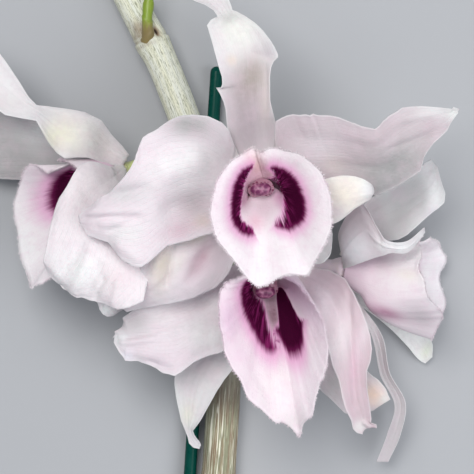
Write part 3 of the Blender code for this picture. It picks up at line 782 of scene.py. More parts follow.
@dataclass(frozen=True)
class Spot:
    """A soft patch of colour round a place, given as seen; some patches are tints of the tissue itself,
    others painted shade and painted light.
    """

    x: float
    y: float
    reach: float
    colour: Rgb
    strength: float = 0.8
    stretch: float = 1.0
    turn: float = 0.0

    def share(self, place: Array) -> Array:
        """How much of the patch is at each place.

        Args:
            place: rows of x and y as seen.

        Returns:
            Shares from 0 to the patch's strength.
        """
        a = math.radians(self.turn)
        dx, dy = place[..., 0] - self.x, place[..., 1] - self.y
        along = (dx * math.cos(a) + dy * math.sin(a)) / self.stretch
        across = dy * math.cos(a) - dx * math.sin(a)
        return self.strength * np.exp(-(along**2 + across**2) / self.reach**2)


def painted(colour: Array, spots: tuple[Spot, ...], place: Array) -> Array:
    """Lays soft patches over a grid of colours, one after another: tints, painted shade and painted light.

    Args:
        colour: the grid of colours.
        spots: the patches.
        place: the grid's x and y as seen.

    Returns:
        The new grid of colours.
    """
    for spot in spots:
        colour = blend(colour, spot.colour, spot.share(place))
    return colour


@dataclass(frozen=True)
class Fold:
    """A soft crease or ridge between two places, given as seen; a negative rise is a groove."""

    start_x: float
    start_y: float
    end_x: float
    end_y: float
    width: float
    rise: float

    def lift(self, place: Array) -> Array:
        """The height that the fold adds at each place, along the sheet's normal.

        Args:
            place: rows of x and y as seen.

        Returns:
            Heights in millimetres.
        """
        start = np.array((self.start_x, self.start_y))
        run = np.array((self.end_x, self.end_y)) - start
        share = ((place - start) @ run) / (run @ run)
        nearest = start + np.clip(share, 0, 1)[..., None] * run
        fade = ease(-0.25, 0.2, share) * ease(1.25, 0.8, share)
        return self.rise * bell(np.linalg.norm(place - nearest, axis=-1), self.width) * fade


def redrawn(margin: Array, line: Line, t: Array, first: float) -> Array:
    """Finds how far a margin moves to lie on a finer line that is given as seen.

    Args:
        margin: the plain margin's points.
        line: the finer line, from the first rib to the tip.
        t: the along value of each point.
        first: the along value of the first rib.

    Returns:
        One move for each point, which keeps its height.
    """
    steps = np.linalg.norm(np.diff(as_seen(margin), axis=0), axis=1) * (t[1:] > first)
    share = np.concatenate([[0], np.cumsum(steps)]) / steps.sum()
    corners = np.array(line)
    run = np.concatenate([[0], np.cumsum(np.linalg.norm(np.diff(corners, axis=0), axis=1))])
    fine = [np.interp(share, run / run[-1], corners[:, k]) for k in (0, 1)]
    target = seen(np.stack([*fine, margin[:, 2]], 1))
    return (target - margin) * ease(0, first, t)[:, None]


@dataclass(frozen=True)
class Tepal:
    """A petal or sepal: its root on the head, its ribs from foot to tip, and its relief and colour.

    A rib runs from a point of the left margin to one of the right margin, both given as seen.
    The two edges are finer outlines of these margins.
    """

    organ: str
    kind: Kind
    root: float
    ribs: tuple[Rib, ...]
    cup: tuple[float, ...] = (0.3, 1, 1, 0.5)
    wave: tuple[float, float, float] = (0.5, 2.4, 0.3)
    frill: float = 0.35
    pleats: float = 0.15
    keel: float = 0.06
    blush: float = 0.5
    ground: Rgb = (0.80, 0.755, 0.778)
    flush: Rgb = (0.73, 0.61, 0.675)
    folds: tuple[Fold, ...] = ()
    spots: tuple[Spot, ...] = ()
    left_edge: Line = ()
    right_edge: Line = ()
    claw: float = 1.3
    margin_thickness: float = 0.16
    body_thickness: float = 0.36
    root_thickness: float = 0.25
    columns: int = 56
    rows: int = 96

    def surface(self, base: Array, tangent: Array, seed: int) -> tuple[Array, Array, Array]:
        """Lays out the sheet's middle surface.

        Args:
            base: the middle of the root.
            tangent: the direction across the root.
            seed: which pattern of small waves it has.

        Returns:
            The grid of points, and its across and along values.
        """
        foot = np.stack([base - tangent * self.claw, base + tangent * self.claw])[None]
        ribs = np.concatenate([foot, seen(np.array(self.ribs).reshape(-1, 2, 3))])
        t = np.linspace(0, 1, self.rows)
        left, right = smooth(ribs[:, 0], t), smooth(ribs[:, 1], t)
        across = right - left
        normal = unit(np.cross(across, heading(ribs.mean(1), t)))
        uu, tt = np.meshgrid(np.linspace(-1, 1, self.columns), t)
        ragged = waves(seed + 1, tt * 9 + np.sign(uu) * 40, 3) * 0.5
        ragged += waves(seed + 2, tt * 24 + np.sign(uu) * 70, 9) * 0.35
        width = np.linalg.norm(across, axis=1)[:, None]
        shift = np.sign(uu) * np.abs(uu) ** 6 * ragged * self.frill * 2 / np.maximum(width, 4)
        shift *= np.sin(np.pi * np.clip(tt, 0.02, 0.98)) ** 0.4
        share = (uu + shift + 1) / 2
        height, count, phase = self.wave
        ripple = height * np.abs(uu) ** 2.5 * np.sin(np.pi * tt) ** 0.5
        rise = ripple * np.sin(TURN * (count * tt + phase + np.where(uu < 0, 0.37, 0)))
        rise = rise - smooth(self.cup, t)[:, None] * (1 - uu * uu)
        points = left[:, None] + across[:, None] * share[..., None] + normal[:, None] * rise[..., None]
        first = 1 / (len(ribs) - 1)
        for margin, line, way in ((left, self.left_edge, -1), (right, self.right_edge, 1)):
            if line:
                pull = ((1 + uu * way) / 2) ** 3
                points = points + redrawn(margin, line, t, first)[:, None] * pull[..., None]
        return points, uu, tt

    def relief(self, points: Array, uu: Array, tt: Array, seed: int) -> Array:
        """The small relief that is added along the sheet's normals.

        Args:
            points: the middle surface.
            uu: the across value at each point.
            tt: the along value at each point.
            seed: which pattern of small waves it has.

        Returns:
            Heights in millimetres.
        """
        pleats = waves(seed + 3, uu * 2.6, tt * 1.1) * self.pleats * 1.5
        pleats += np.sin(uu * 17 + waves(seed + 4, uu, tt * 2) * 1.5) * self.pleats * 0.22
        teeth = waves(seed + 5, tt * 7 + np.sign(uu) * 50, 0)
        teeth = teeth + 0.5 * waves(seed + 6, tt * 16 + np.sign(uu) * 90, 0)
        frill = np.abs(uu) ** 4 * self.frill * teeth
        keel = -self.keel * bell(uu, 0.07) * ease(1.0, 0.75, tt)
        lift = (pleats + frill + keel) * np.sin(np.pi * np.clip(tt * 0.97 + 0.015, 0, 1)) ** 0.6
        place = as_seen(points)
        for fold in self.folds:
            lift = lift + fold.lift(place)
        return lift

    def tint(self, points: Array, uu: Array, tt: Array, seed: int) -> Array:
        """The ground colour at each point, with its patches of tint, painted shade and painted light.

        Args:
            points: the middle surface.
            uu: the across value at each point.
            tt: the along value at each point.
            seed: which pattern of clouds it has.

        Returns:
            A grid of colours.
        """
        flush = 0.45 + 0.35 * waves(seed + 7, uu * 1.2, tt * 1.8) + 0.25 * ease(0.6, 1.0, tt)
        colour = blend(self.ground, self.flush, np.clip(flush * self.blush * 1.3, 0, 1))
        colour = blend(colour, MINT, 0.6 * ease(0.22, 0.0, tt))
        return painted(colour, self.spots, as_seen(points))

    def make(self, bloom: "Bloom") -> None:
        """Makes the piece, which takes its node's place.

        Args:
            bloom: the bloom that it grows on.
        """
        name = f"{bloom.name}_{self.organ}"
        seed = seed_of(name, 3)
        turn = math.radians(self.root)
        outward = bloom.right * math.sin(turn) + bloom.top * math.cos(turn)
        tangent = bloom.right * math.cos(turn) - bloom.top * math.sin(turn)
        base = bloom.place + outward * (Bloom.head_radius + 0.1) + bloom.front * self.kind.value
        points, uu, tt = self.surface(base, tangent, seed)
        points = points + grid_normals(points) * self.relief(points, uu, tt, seed)[..., None]
        width = np.linalg.norm(points[:, -1] - points[:, 0], axis=1)[:, None]
        edge = (1 - np.abs(uu)) * width / 2
        thickness = self.margin_thickness + self.body_thickness * ease(0, 2.4, edge) * ease(1, 0.9, tt)
        thickness = thickness + self.root_thickness * ease(0.2, 0, tt)
        points[..., 2] = np.maximum(points[..., 2], thickness / 2 + 0.02)
        plan = MeshPlan()
        tint = self.tint(points, uu, tt, seed)
        add_shell(plan, points, thickness, False, across=uu, along=tt, edge=edge, tint=tint)
        plan.build(f"{name}_skin", Slot.PETAL, name)


@dataclass(frozen=True)
class Blotch:
    """A purple blotch in a lip: for each across value, the shares along between which it lies."""

    bands: tuple[tuple[float, float, float], ...]
    feather: float = 1.0
    rim_feather: float = 1.0

    def depth(self, u: Array, s: Array, length: Array, girth: float) -> tuple[Array, Array]:
        """How far within the blotch's rimward and throatward edges each point is, in millimetres.

        Args:
            u: the across value of each column.
            s: the along value of each row.
            length: the length of the sheet from foot to rim at each column.
            girth: the millimetres of one unit across.

        Returns:
            Two grids of depths, negative outside.
        """
        at, low, high = np.array(self.bands).T
        reach = at[-1] - at[0]
        t = np.interp(np.clip((u - at[0]) / reach, 0, 1), (at - at[0]) / reach, np.linspace(0, 1, len(at)))
        beyond = np.maximum(np.maximum(at[0] - u, u - at[-1]), 0)[None] * girth
        rimward = (smooth(high, t)[None] - s[:, None]) * length[None] - beyond
        throatward = (s[:, None] - smooth(low, t)[None]) * length[None] - beyond
        return rimward / self.rim_feather, throatward / self.feather


@dataclass(frozen=True)
class Lip:
    """The lip: rolled round the column below and flared to its rim, downy, with its blotches."""

    rim: tuple[Point, ...]
    wave: tuple[float, float] = (0.35, 7)
    tube: tuple[tuple[float, float], ...] = ((2.7, 1.8), (5.0, 5.8), (6.6, 11.0))
    parting: float = 1.0
    blotches: tuple[Blotch, ...] = ()
    spots: tuple[Spot, ...] = ()
    folds: tuple[Fold, ...] = ()
    outline: Line = ()
    blush: float = 0.3
    tongue: tuple[float, ...] = (0.0, 0.8, 1.8, 2.4, 1.6, 0.4, 0.0)
    tongue_width: float = 0.2
    belly: float = 0.0
    fringe: float = 0.22
    girth: float = 20.0
    rim_thickness: float = 0.2
    body_thickness: float = 0.4
    rows: int = 72
    columns: int = 192
    hairs: int = 9000
    hair_length: float = 0.34
    rim_hair_length: float = 1.1
    hair_width: float = 0.03
    rim_hair_width: float = 0.06

    def drawn_rim(self, rim: Array) -> Array:
        """Moves the rim in or out, as seen, to its finer outline, keeping its heights.

        Args:
            rim: the rim's points.

        Returns:
            The moved points.
        """
        flat = as_seen(rim)
        centre = (flat.max(0) + flat.min(0)) / 2
        away = flat - centre
        corners = np.array(self.outline + self.outline[:1]) - centre
        corners = smooth(corners, np.linspace(0, 1, 30 * len(corners)))
        turn = np.arctan2(corners[:, 1], corners[:, 0])
        order = np.argsort(turn)
        reach = np.linalg.norm(corners, axis=1)[order]
        reach = np.interp(np.arctan2(away[:, 1], away[:, 0]), turn[order], reach, period=TURN)
        return seen(np.concatenate([centre + unit(away) * reach[:, None], rim[:, 2:]], 1))

    def surface(self, bloom: "Bloom", seed: int) -> tuple[Array, Array, Array]:
        """Lays out the sheet's middle surface.

        Args:
            bloom: the bloom that it grows on.
            seed: which pattern of small waves it has.

        Returns:
            The grid of points, and its across and along values.
        """
        u = np.linspace(-1, 1, self.columns)
        s = np.linspace(0, 1, self.rows)
        rim = smooth(seen(np.array(self.rim)), (u + 1) / 2)
        if self.outline:
            rim = self.drawn_rim(rim)
        ragged = self.fringe * (waves(seed + 1, u * 26, 0) + 0.7 * waves(seed + 2, u * 60, 0))
        rim = rim + unit(rim - rim.mean(0)) * ragged[:, None]
        guides = []
        for part, (radius, level) in enumerate(self.tube):
            angle = u * (math.pi - self.parting / 2 / radius)
            sag = self.belly * part / 2 * np.cos(angle / 2) ** 4
            guides.append(bloom.at(radius * np.sin(angle), -radius * np.cos(angle) - sag, level))
        points = smooth(np.stack([*guides, rim]), s)
        uu, ss = np.meshgrid(u, s)
        height, count = self.wave
        ripple = height * ss**4 * np.sin(count * np.pi * uu)
        ripple += 0.22 * ss**3 * waves(seed + 3, uu * 9, ss * 3)
        rolled = -0.7 * ease(0.9, 1.0, ss) ** 2
        floor = smooth(self.tongue, ss) / (1 + (uu / self.tongue_width) ** 4)
        return points + bloom.front * (ripple + rolled)[..., None] + bloom.top * floor[..., None], uu, ss

    def down(
        self, plan: MeshPlan, points: Array, normals: Array, values: dict[str, Array],
        bloom: "Bloom", seed: int,
    ) -> None:
        """Adds short hairs over the flared part and along the rim.

        Args:
            plan: the mesh that they go into.
            points: the grid of points of the inner face.
            normals: the unit normals there.
            values: the per-point values of the grid.
            bloom: the bloom that the lip grows on.
            seed: which pattern of hairs.
        """
        rng = np.random.default_rng(seed)
        rows, columns = points.shape[:2]
        share = 1 - rng.beta(1.0, 2.6, self.hairs) * 0.5
        share[: self.hairs // 3] = 1.0
        on_rim = share == 1.0
        i = np.clip((share * (rows - 1)).astype(int), 0, rows - 1)
        j = rng.integers(0, columns, self.hairs)
        foot = points[i, j] + rng.normal(0, 0.05, (self.hairs, 3))
        outward = square_to(points[-1, j] - points[-1].mean(0), bloom.front)
        lean = np.where(on_rim, 1.0, 0.25)[:, None]
        aim = unit(normals[i, j] * (1.1 - lean) + outward * lean + rng.normal(0, 0.4, (self.hairs, 3)))
        tuft = 0.62 + 0.38 * waves(seed + 8, j * 0.9, 0)
        size = np.where(on_rim, self.rim_hair_length * tuft, self.hair_length)
        size = np.maximum(size * rng.uniform(0.45, 1.1, self.hairs), 0.08)[:, None]
        width = np.where(on_rim, self.rim_hair_width, self.hair_width)[:, None]
        side = unit(np.cross(aim, rng.normal(0, 1, (self.hairs, 3)))) * width
        corners = np.stack([foot - side, foot + side, foot + aim * size], 1)
        values = {key: np.repeat(value[i, j], 3, axis=0) for key, value in values.items()}
        plan.add(corners, np.arange(self.hairs * 3).reshape(-1, 3), **values)

    def make(self, bloom: "Bloom") -> None:
        """Makes the piece, which takes its node's place.

        Args:
            bloom: the bloom that it grows on.
        """
        name = f"{bloom.name}_lip"
        seed = seed_of(name, 5)
        points, uu, ss = self.surface(bloom, seed)
        place = as_seen(points)
        lift = sum((fold.lift(place) for fold in self.folds), np.zeros(uu.shape))
        points = points - grid_normals(points) * lift[..., None]
        length = np.linalg.norm(np.diff(points, axis=0), axis=2).sum(0)
        rimward = throatward = np.full(uu.shape, FAR_OUTSIDE)
        for blotch in self.blotches:
            high, low = blotch.depth(uu[0], ss[:, 0], length, self.girth)
            deeper = np.minimum(high, low) > np.minimum(rimward, throatward)
            rimward, throatward = np.where(deeper, high, rimward), np.where(deeper, low, throatward)
        flush = np.clip(self.blush + 0.2 * waves(seed + 4, uu * 3, ss * 2), 0, 1)
        flush = np.clip(flush + 0.5 * ease(0.8, 0.45, ss), 0, 1)
        tint = painted(blend(LipDown.white, LipDown.blush, flush), self.spots, place)
        thickness = self.rim_thickness + self.body_thickness * ease(0, 2.5, (1 - ss) * length[None])
        values = {"across": uu, "along": ss, "tint": tint, "rimward": rimward, "throatward": throatward}
        plan = MeshPlan()
        add_shell(plan, points, thickness, True, **values)
        for key in ("rimward", "throatward"):
            plan.values[key][0][uu.size:] = FAR_OUTSIDE
        normals = -grid_normals(points)
        self.down(plan, points + normals * thickness[..., None] / 2, normals, values, bloom, seed)
        plan.build(f"{name}_skin", Slot.LIP, name)


@dataclass(frozen=True)
class Column:
    """The column over the throat, hollowed on its under side, with its anther cap.

    A bend says how much of the lean is reached there, the height and how far forward it is.
    """

    lean: tuple[float, float] = (0.0, 0.0)
    bends: tuple[Point, ...] = ((0, 0.7, 0), (0.3, 1.5, 3.7), (0.7, 2.4, 7.2), (1, 2.9, 10.2))
    radii: tuple[float, ...] = (1.3, 1.7, 2.35, 2.7)
    oval: float = 1.22
    cap_length: float = 2.5
    cap_radius: float = 1.85
    cap_oval: float = 1.3
    sides: int = 24

    def make(self, bloom: "Bloom") -> None:
        """Makes the column and its anther cap.

        Args:
            bloom: the bloom that they grow on.
        """
        start = bloom.head_front + 0.1
        aside, up = self.lean
        route = np.array([
            bloom.at(aside * lean, height + up * lean, start + level) for lean, height, level in self.bends
        ])
        t = np.linspace(0, 1, 30)
        angle = around(self.sides)
        hollow = bell(np.angle(np.exp(1j * (angle + math.pi / 2))), 0.7)[None]
        radius = smooth(self.radii, t)[:, None] * (1 - 0.35 * hollow * ease(0.35, 0.9, t)[:, None])
        top = tuple(bloom.top)
        plan = MeshPlan()
        add_tube(plan, smooth(route, t), radius, self.sides, self.oval, top)
        plan.build(f"{bloom.name}_column_wax", Slot.COLUMN, f"{bloom.name}_column")
        t = np.linspace(0, 1, 22)
        cap = route[-1] + heading(route, np.array([1.0]))[0] * (0.15 + self.cap_length * t)[:, None]
        radius = np.sqrt(np.maximum(1 - ((t - 0.32) / 0.69) ** 2, 0.0))[:, None] * self.cap_radius
        cleft = bell(np.angle(np.exp(1j * (angle - math.pi / 2))), 0.3)[None]
        lobes = 1 + 0.09 * np.cos(2 * angle)[None] - 0.16 * cleft
        plan = MeshPlan()
        add_tube(plan, cap, radius * lobes, self.sides, self.cap_oval, top)
        plan.build(f"{bloom.name}_anther_wax", Slot.ANTHER, f"{bloom.name}_anther_cap")


@dataclass
class Bloom:
    """One flower: its place, the way it faces, its petals, its lip and its column."""

    name: str
    hub: Point
    faces: Point
    upright: Point
    tepals: tuple[Tepal, ...]
    lip: Lip
    column: Column = Column()
    pink_from: float = 0.86
    place: Array = field(init=False)
    front: Array = field(init=False)
    top: Array = field(init=False)
    right: Array = field(init=False)
    head_radius: ClassVar[float] = 3.0
    head_front: ClassVar[float] = 1.2
    head_back: ClassVar[float] = 2.6

    def __post_init__(self) -> None:
        """Works out the bloom's own axes."""
        self.place = seen(np.array(self.hub))
        self.front = unit(np.array(self.faces, float))
        self.top = square_to(np.array(self.upright, float), self.front)
        self.right = np.cross(self.top, self.front)

    def at(self, right: Array | float, top: Array | float, front: Array | float) -> Array:
        """A point, or a row of points, in the bloom's own axes."""
        right, top, front = (np.asarray(v, float)[..., None] for v in (right, top, front))
        return self.place + self.right * right + self.top * top + self.front * front

    def make(self) -> None:
        """Makes every piece of the bloom."""
        for part in (*self.tepals, self.lip, self.column):
            part.make(self)


@dataclass
class Cane:
    """The jointed cane, its two ends on the ground and its middle bowed up over the stake."""

    line: Line = (
        (-34.4, 75.5), (-26.8, 59.6), (-18.9, 44.0), (-12.9, 29.0), (-6.9, 12.5),
        (-3.4, -4.0), (-2.6, -22.0), (-3.4, -40.0), (-4.5, -58.0), (-5.4, -74.0),
    )
    end_height: float = 3.7
    end_share: float = 0.93
    bow: float = 6.6
    crossing: float = 0.416
    radii: tuple[float, float] = (4.15, 4.65)
    nodes: tuple[float, ...] = (0.187, 0.365, 0.62, 0.912)
    swell: float = 0.35
    ring: float = 0.016
    groove_depth: float = 0.07
    wrinkle_depth: float = 0.05
    sheath_step: float = 0.18
    scar_depth: float = 0.22
    bud_turn: float = 1.0
    husk_turn: float = 1.2
    pit_turn: float = 2.16
    pit_depth: float = 0.9
    steps: int = 420
    sides: int = 72

    def route(self) -> Array:
        """Gives the points of the line their heights.

        Returns:
            The points that the middle of the cane runs through.
        """
        (_, top), (_, foot) = self.line[0], self.line[-1]
        middle = top + (foot - top) * self.crossing
        points = []
        for x, y in self.line:
            end = top if y > middle else foot
            reach = min(abs(y - end) / abs(middle - end), 1.0)
            points.append((x, y, self.end_height + self.bow * math.sin(reach * math.pi / 2) ** 1.3))
        return seen(np.array(points))

    def radius(self, t: Array) -> Array:
        """The plain radius with a swollen ring at each node."""
        rings = sum(bell(t - node, self.ring) for node in self.nodes)
        return self.radii[0] + (self.radii[1] - self.radii[0]) * t + self.swell * rings

    def station(self, share: float) -> tuple[Array, Array, float]:
        """Finds a place along the cane, for what grows on it or is tied to it.

        Args:
            share: the place, 0 at the young end and 1 at the foot.

        Returns:
            The middle of the cane there, the way towards its foot, and its radius.
        """
        t = np.array([share])
        route = self.route()
        return smooth(route, t)[0], heading(route, t)[0], float(self.radius(t)[0])

    def make(self) -> None:
        """Makes the cane with its sheaths, node rings, fine grooves and pit."""
        t = np.linspace(0, 1, self.steps)
        tt, aa = np.meshgrid(t, around(self.sides), indexing="ij")
        radius = self.radius(tt) - 0.05
        grooves = waves(5, np.cos(aa) * 9, np.sin(aa) * 9 + tt * 3) * self.groove_depth
        wrinkles = waves(6, np.cos(aa) * 3 + tt * 30, np.sin(aa) * 3 + tt * 20) * self.wrinkle_depth
        radius = radius + grooves + wrinkles
        node = np.zeros_like(tt)
        for at in self.nodes:
            past = tt - (at + 0.004 * np.cos(aa + at * 20))
            scar = bell(past + 0.0035, 0.0028)
            fresh = ease(-0.0015, 0, past) * ease(0.05, 0, past)
            radius = radius + self.sheath_step * fresh - self.scar_depth * scar
            for band in (scar, 0.7 * bell(past + 0.012, 0.008), 0.45 * bell(past - 0.006, 0.004)):
                node = np.maximum(node, band)
        bud = bell(aa - self.bud_turn, 0.95) + bell(aa - self.bud_turn - TURN, 0.95)
        node = np.where(tt < 0.28, node * (0.12 + 0.88 * bud), node)
        uppermost = self.nodes[0]
        husk = bell(tt - uppermost + 0.02, 0.014) * bell(aa - self.husk_turn, 0.6)
        pit = bell(tt - uppermost + 0.006, 0.009) * bell(aa - self.pit_turn, 0.2)
        node = np.maximum(np.maximum(node, 0.85 * husk), 1.7 * pit)
        radius = radius - self.pit_depth * pit
        radius[[0, -1]] *= self.end_share
        plan = MeshPlan()
        age = ease(0.55, 0.8, tt)
        add_tube(plan, smooth(self.route(), t), radius, self.sides, lowest=0.0, node=node, age=age)
        plan.build("cane_sheath", Slot.CANE, "cane")


@dataclass
class Stake:
    """The thin coated stake under the cane, with rounded ends."""

    radius: float = 1.7
    sides: int = 40

    def line(self) -> Array:
        """The two ends of its axis."""
        return seen(np.array(STAKE_ENDS))

    def make(self) -> None:
        """Makes the stake."""
        top, foot = self.line()
        length = np.linalg.norm(foot - top)
        dome = (1 - np.cos(np.linspace(0, math.pi / 2, 9))) * self.radius / length
        t = np.concatenate([dome, np.linspace(0.03, 0.97, 60), 1 - dome[::-1]])
        depth = np.clip(np.minimum(t, 1 - t) * length / self.radius, 0, 1)
        radius = self.radius * np.sqrt(np.clip(1 - (1 - depth) ** 2, 0.02, 1))
        plan = MeshPlan()
        add_tube(plan, top + (foot - top) * t[:, None], radius, self.sides)
        plan.build("stake_coat", Slot.STAKE, "stake")


@dataclass
class Tie:
    """The coated wire round cane and stake, its ends twisted together."""

    cane: Cane
    stake: Stake
    wire: float = 0.45
    gap: float = 0.35
    tail: float = 7.0
    knot_turn: float = 2.6
    twists: int = 5

    def make(self) -> None:
        """Makes the loop and its twisted tail."""
        centre, along, girth = self.cane.station(self.cane.crossing)
        top, foot = self.stake.line()
        under = top + (foot - top) * ((top[1] - centre[1]) / (top[1] - foot[1]))
        clear = self.gap + self.wire
        outer, inner = girth + clear, self.stake.radius + clear
        side = square_to(np.array((1.0, 0, 0)), along)
        up = np.cross(side, along)
        up = up if up[2] > 0 else -up
        slant = math.asin((outer - inner) / (centre[2] - under[2]))
        loop = [
            middle + (side * math.cos(a) + up * math.sin(a)) * radius
            for middle, radius, first, last in (
                (centre, outer, -slant, math.pi + slant),
                (under, inner, math.pi + slant, TURN - slant),
            )
            for a in np.linspace(first, last, 40)
        ]
        loop += loop[:2]
        plan = MeshPlan()
        add_tube(plan, np.array(loop), np.full(len(loop), self.wire), 14)
        knot = centre + (side * math.cos(self.knot_turn) + up * math.sin(self.knot_turn)) * girth
        end = knot + (side * -1.0 + up * 0.25) * self.tail - along * 2
        t = np.linspace(0, 1, 60)
        core = smooth(np.array([knot - (end - knot) * 0.05, (knot + end) / 2 - up * 0.6, end]), t)
        forward = unit(np.gradient(core, axis=0))
        one = unit(np.cross(forward, up))
        two = np.cross(forward, one)
        strand = self.wire * 0.8
        for phase in (0.0, math.pi):
            turn = (t * self.twists * TURN + phase)[:, None]
            route = core + (one * np.cos(turn) + two * np.sin(turn)) * strand
            add_tube(plan, route, np.full(len(t), strand), 10)
        plan.build("stake_tie_wire", Slot.TIE, "stake_tie")


@dataclass
class FlowerStalk:
    """A forked stalk from a node of the cane, which carries two blooms."""

    name: str
    node: int
    out: float
    rise: float
    carries: tuple[tuple[Bloom, tuple[Point, ...]], ...]
    ovary: float = 1.7
    pedicel: float = 1.25
    boss: float = 3.2
    boss_radii: tuple[float, ...] = (2.3, 2.3, 2.1, 1.2)
    forks: tuple[float, float] = (1.1, 1.8)

    def make(self, cane: Cane) -> None:
        """Makes the stalk's foot and the pedicels that end in the blooms' heads.

        Args:
            cane: the cane that it grows on.
        """
        centre, along, girth = cane.station(cane.nodes[self.node])
        away = square_to(np.array((self.out, 0.0, self.rise)), along)
        foot = centre + away * (girth + 0.1)
        plan = MeshPlan()
        t = np.linspace(0, 1, 24)
        rings = smooth(self.boss_radii, t) + 0.12 * np.sin(t * 18) ** 2
        add_tube(plan, foot + away * (self.boss * t)[:, None], rings, 28, blush=0.0)
        t = np.linspace(0, 1, 90)
        ridges = 1 + 0.05 * np.cos(6 * around(30))[None] * ease(0.3, 0.7, t)[:, None]
        for (bloom, bends), start in zip(self.carries, self.forks):
            head = [bloom.at(0, 0, -bloom.head_back), bloom.at(0, 0, bloom.head_front)]
            points = np.array([foot + away * start, *seen(np.array(bends)), *head])
            radii = [self.pedicel] * (2 * len(bends)) + [self.pedicel * 1.1, self.ovary]
            radii += [bloom.head_radius * 0.93, bloom.head_radius * 0.8]
            radius = smooth(radii, t)[:, None] * ridges
            radius[-1] *= 0.72
            blush = ease(bloom.pink_from, bloom.pink_from + 0.12, t)[:, None]
            add_tube(plan, smooth(points, t), radius, 30, blush=blush)
        plan.build(f"{self.name}_skin", Slot.STALK, self.name)


@dataclass
class YoungShoot:
    """The young green shoot at the cane's uppermost node, wrapped in scales.

    A bend says how far up, how far on along the cane and how far aside it is.
    """

    node: int = 0
    bends: tuple[Point, ...] = ((-2.6, -2, -1.4), (1.5, 4.4, 1.9), (2.4, 10.6, 5.2), (4, 20, 10.6))
    radii: tuple[float, ...] = (2.3, 1.45, 1.4, 0.3)
    scales: tuple[float, ...] = (0.2, 0.42, 0.66)
    sides: int = 32

    def make(self, cane: Cane) -> None:
        """Makes the shoot and its scales.

        Args:
            cane: the cane that it grows on.
        """
        centre, along, girth = cane.station(cane.nodes[self.node])
        side = square_to(np.array((-0.14, 0.0, 1.0)), along)
        start = centre + side * (girth - 0.5)
        points = [start + side * up - along * on + np.array((aside, 0, 0)) for up, on, aside in self.bends]
        t = np.linspace(0, 1, 120)
        lift = np.zeros((len(t), self.sides))
        for i, at in enumerate(self.scales):
            edge = at + 0.07 * np.cos(around(self.sides) + i * 2.4)[None]
            scale = ease(edge - 0.2, edge, t[:, None]) * ease(edge + 0.012, edge, t[:, None])
            lift = np.maximum(lift, scale)
        plan = MeshPlan()
        radius = smooth(self.radii, t)[:, None] * (0.93 + 0.13 * lift)
        add_tube(plan, smooth(np.array(points), t), radius, self.sides)
        plan.build("young_shoot_skin", Slot.SHOOT, "young_shoot")


@dataclass
class Studio:
    """A plain pale surface, soft light and the camera that looks straight down."""

    eye_height: float = 489.0
    lens: float = 135.0
    sensor: float = 36.0
    floor_reach: float = 1.6
    lamps_aim: Point = (0.0, 0.0, 0.03)
    lamps: tuple[tuple[str, Point, float, float, Rgb], ...] = (
        ("key_lamp", (-0.12, 0.20, 0.66), 0.34, 2.85, (1.0, 0.985, 0.965)),
        ("fill_lamp", (0.36, -0.16, 0.50), 0.45, 1.95, (0.97, 0.98, 1.0)),
    )
    sky_colour: Rgb = (0.86, 0.92, 1.0)
    sky_strength: float = 0.34

    def hang(self, name: str, place: Point, size: float, power: float, colour: Rgb) -> None:
        """Hangs a soft square lamp that faces the blooms.

        Args:
            name: the lamp's name.
            place: where it hangs, in metres.
            size: the length of its side in metres.
            power: its power in watts.
            colour: its colour.
        """
        light = bpy.data.lights.new(name, "AREA")
        light.size, light.energy, light.color = size, power, colour
        lamp = bpy.data.objects.new(name, light)
        lamp.location = place
        lamp.rotation_euler = (Vector(self.lamps_aim) - Vector(place)).to_track_quat("-Z", "Y").to_euler()
        bpy.context.scene.collection.objects.link(lamp)

    def make(self) -> None:
        """Makes the surface, the lamps, the sky and the camera."""
        scene = bpy.context.scene
        mesh = bpy.data.meshes.new("studio_floor")
        reach = self.floor_reach
        corners = [(-reach, -reach, 0), (reach, -reach, 0), (reach, reach, 0), (-reach, reach, 0)]
        mesh.from_pydata(corners, [], [(0, 1, 2, 3)])
        mesh.materials.append(StudioPaper().material())
        floor = bpy.data.objects.new("studio_floor", mesh)
        scene.collection.objects.link(floor)
        scene.world = bpy.data.worlds.new("studio_sky")
        scene.world.use_nodes = True
        sky = scene.world.node_tree.nodes["Background"]
        sky.inputs["Color"].default_value = (*self.sky_colour, 1)
        sky.inputs["Strength"].default_value = self.sky_strength
        for lamp in self.lamps:
            self.hang(*lamp)
        scene.view_settings.view_transform = "Standard"
        lens = bpy.data.cameras.new("camera")
        lens.lens, lens.sensor_width, lens.clip_start = self.lens, self.sensor, 0.01
        camera = bpy.data.objects.new("camera", lens)
        camera.location = tuple(LAYOUT.metres(np.array((0.0, 0.0, self.eye_height))))
        scene.collection.objects.link(camera)
        bpy.context.scene.camera = camera


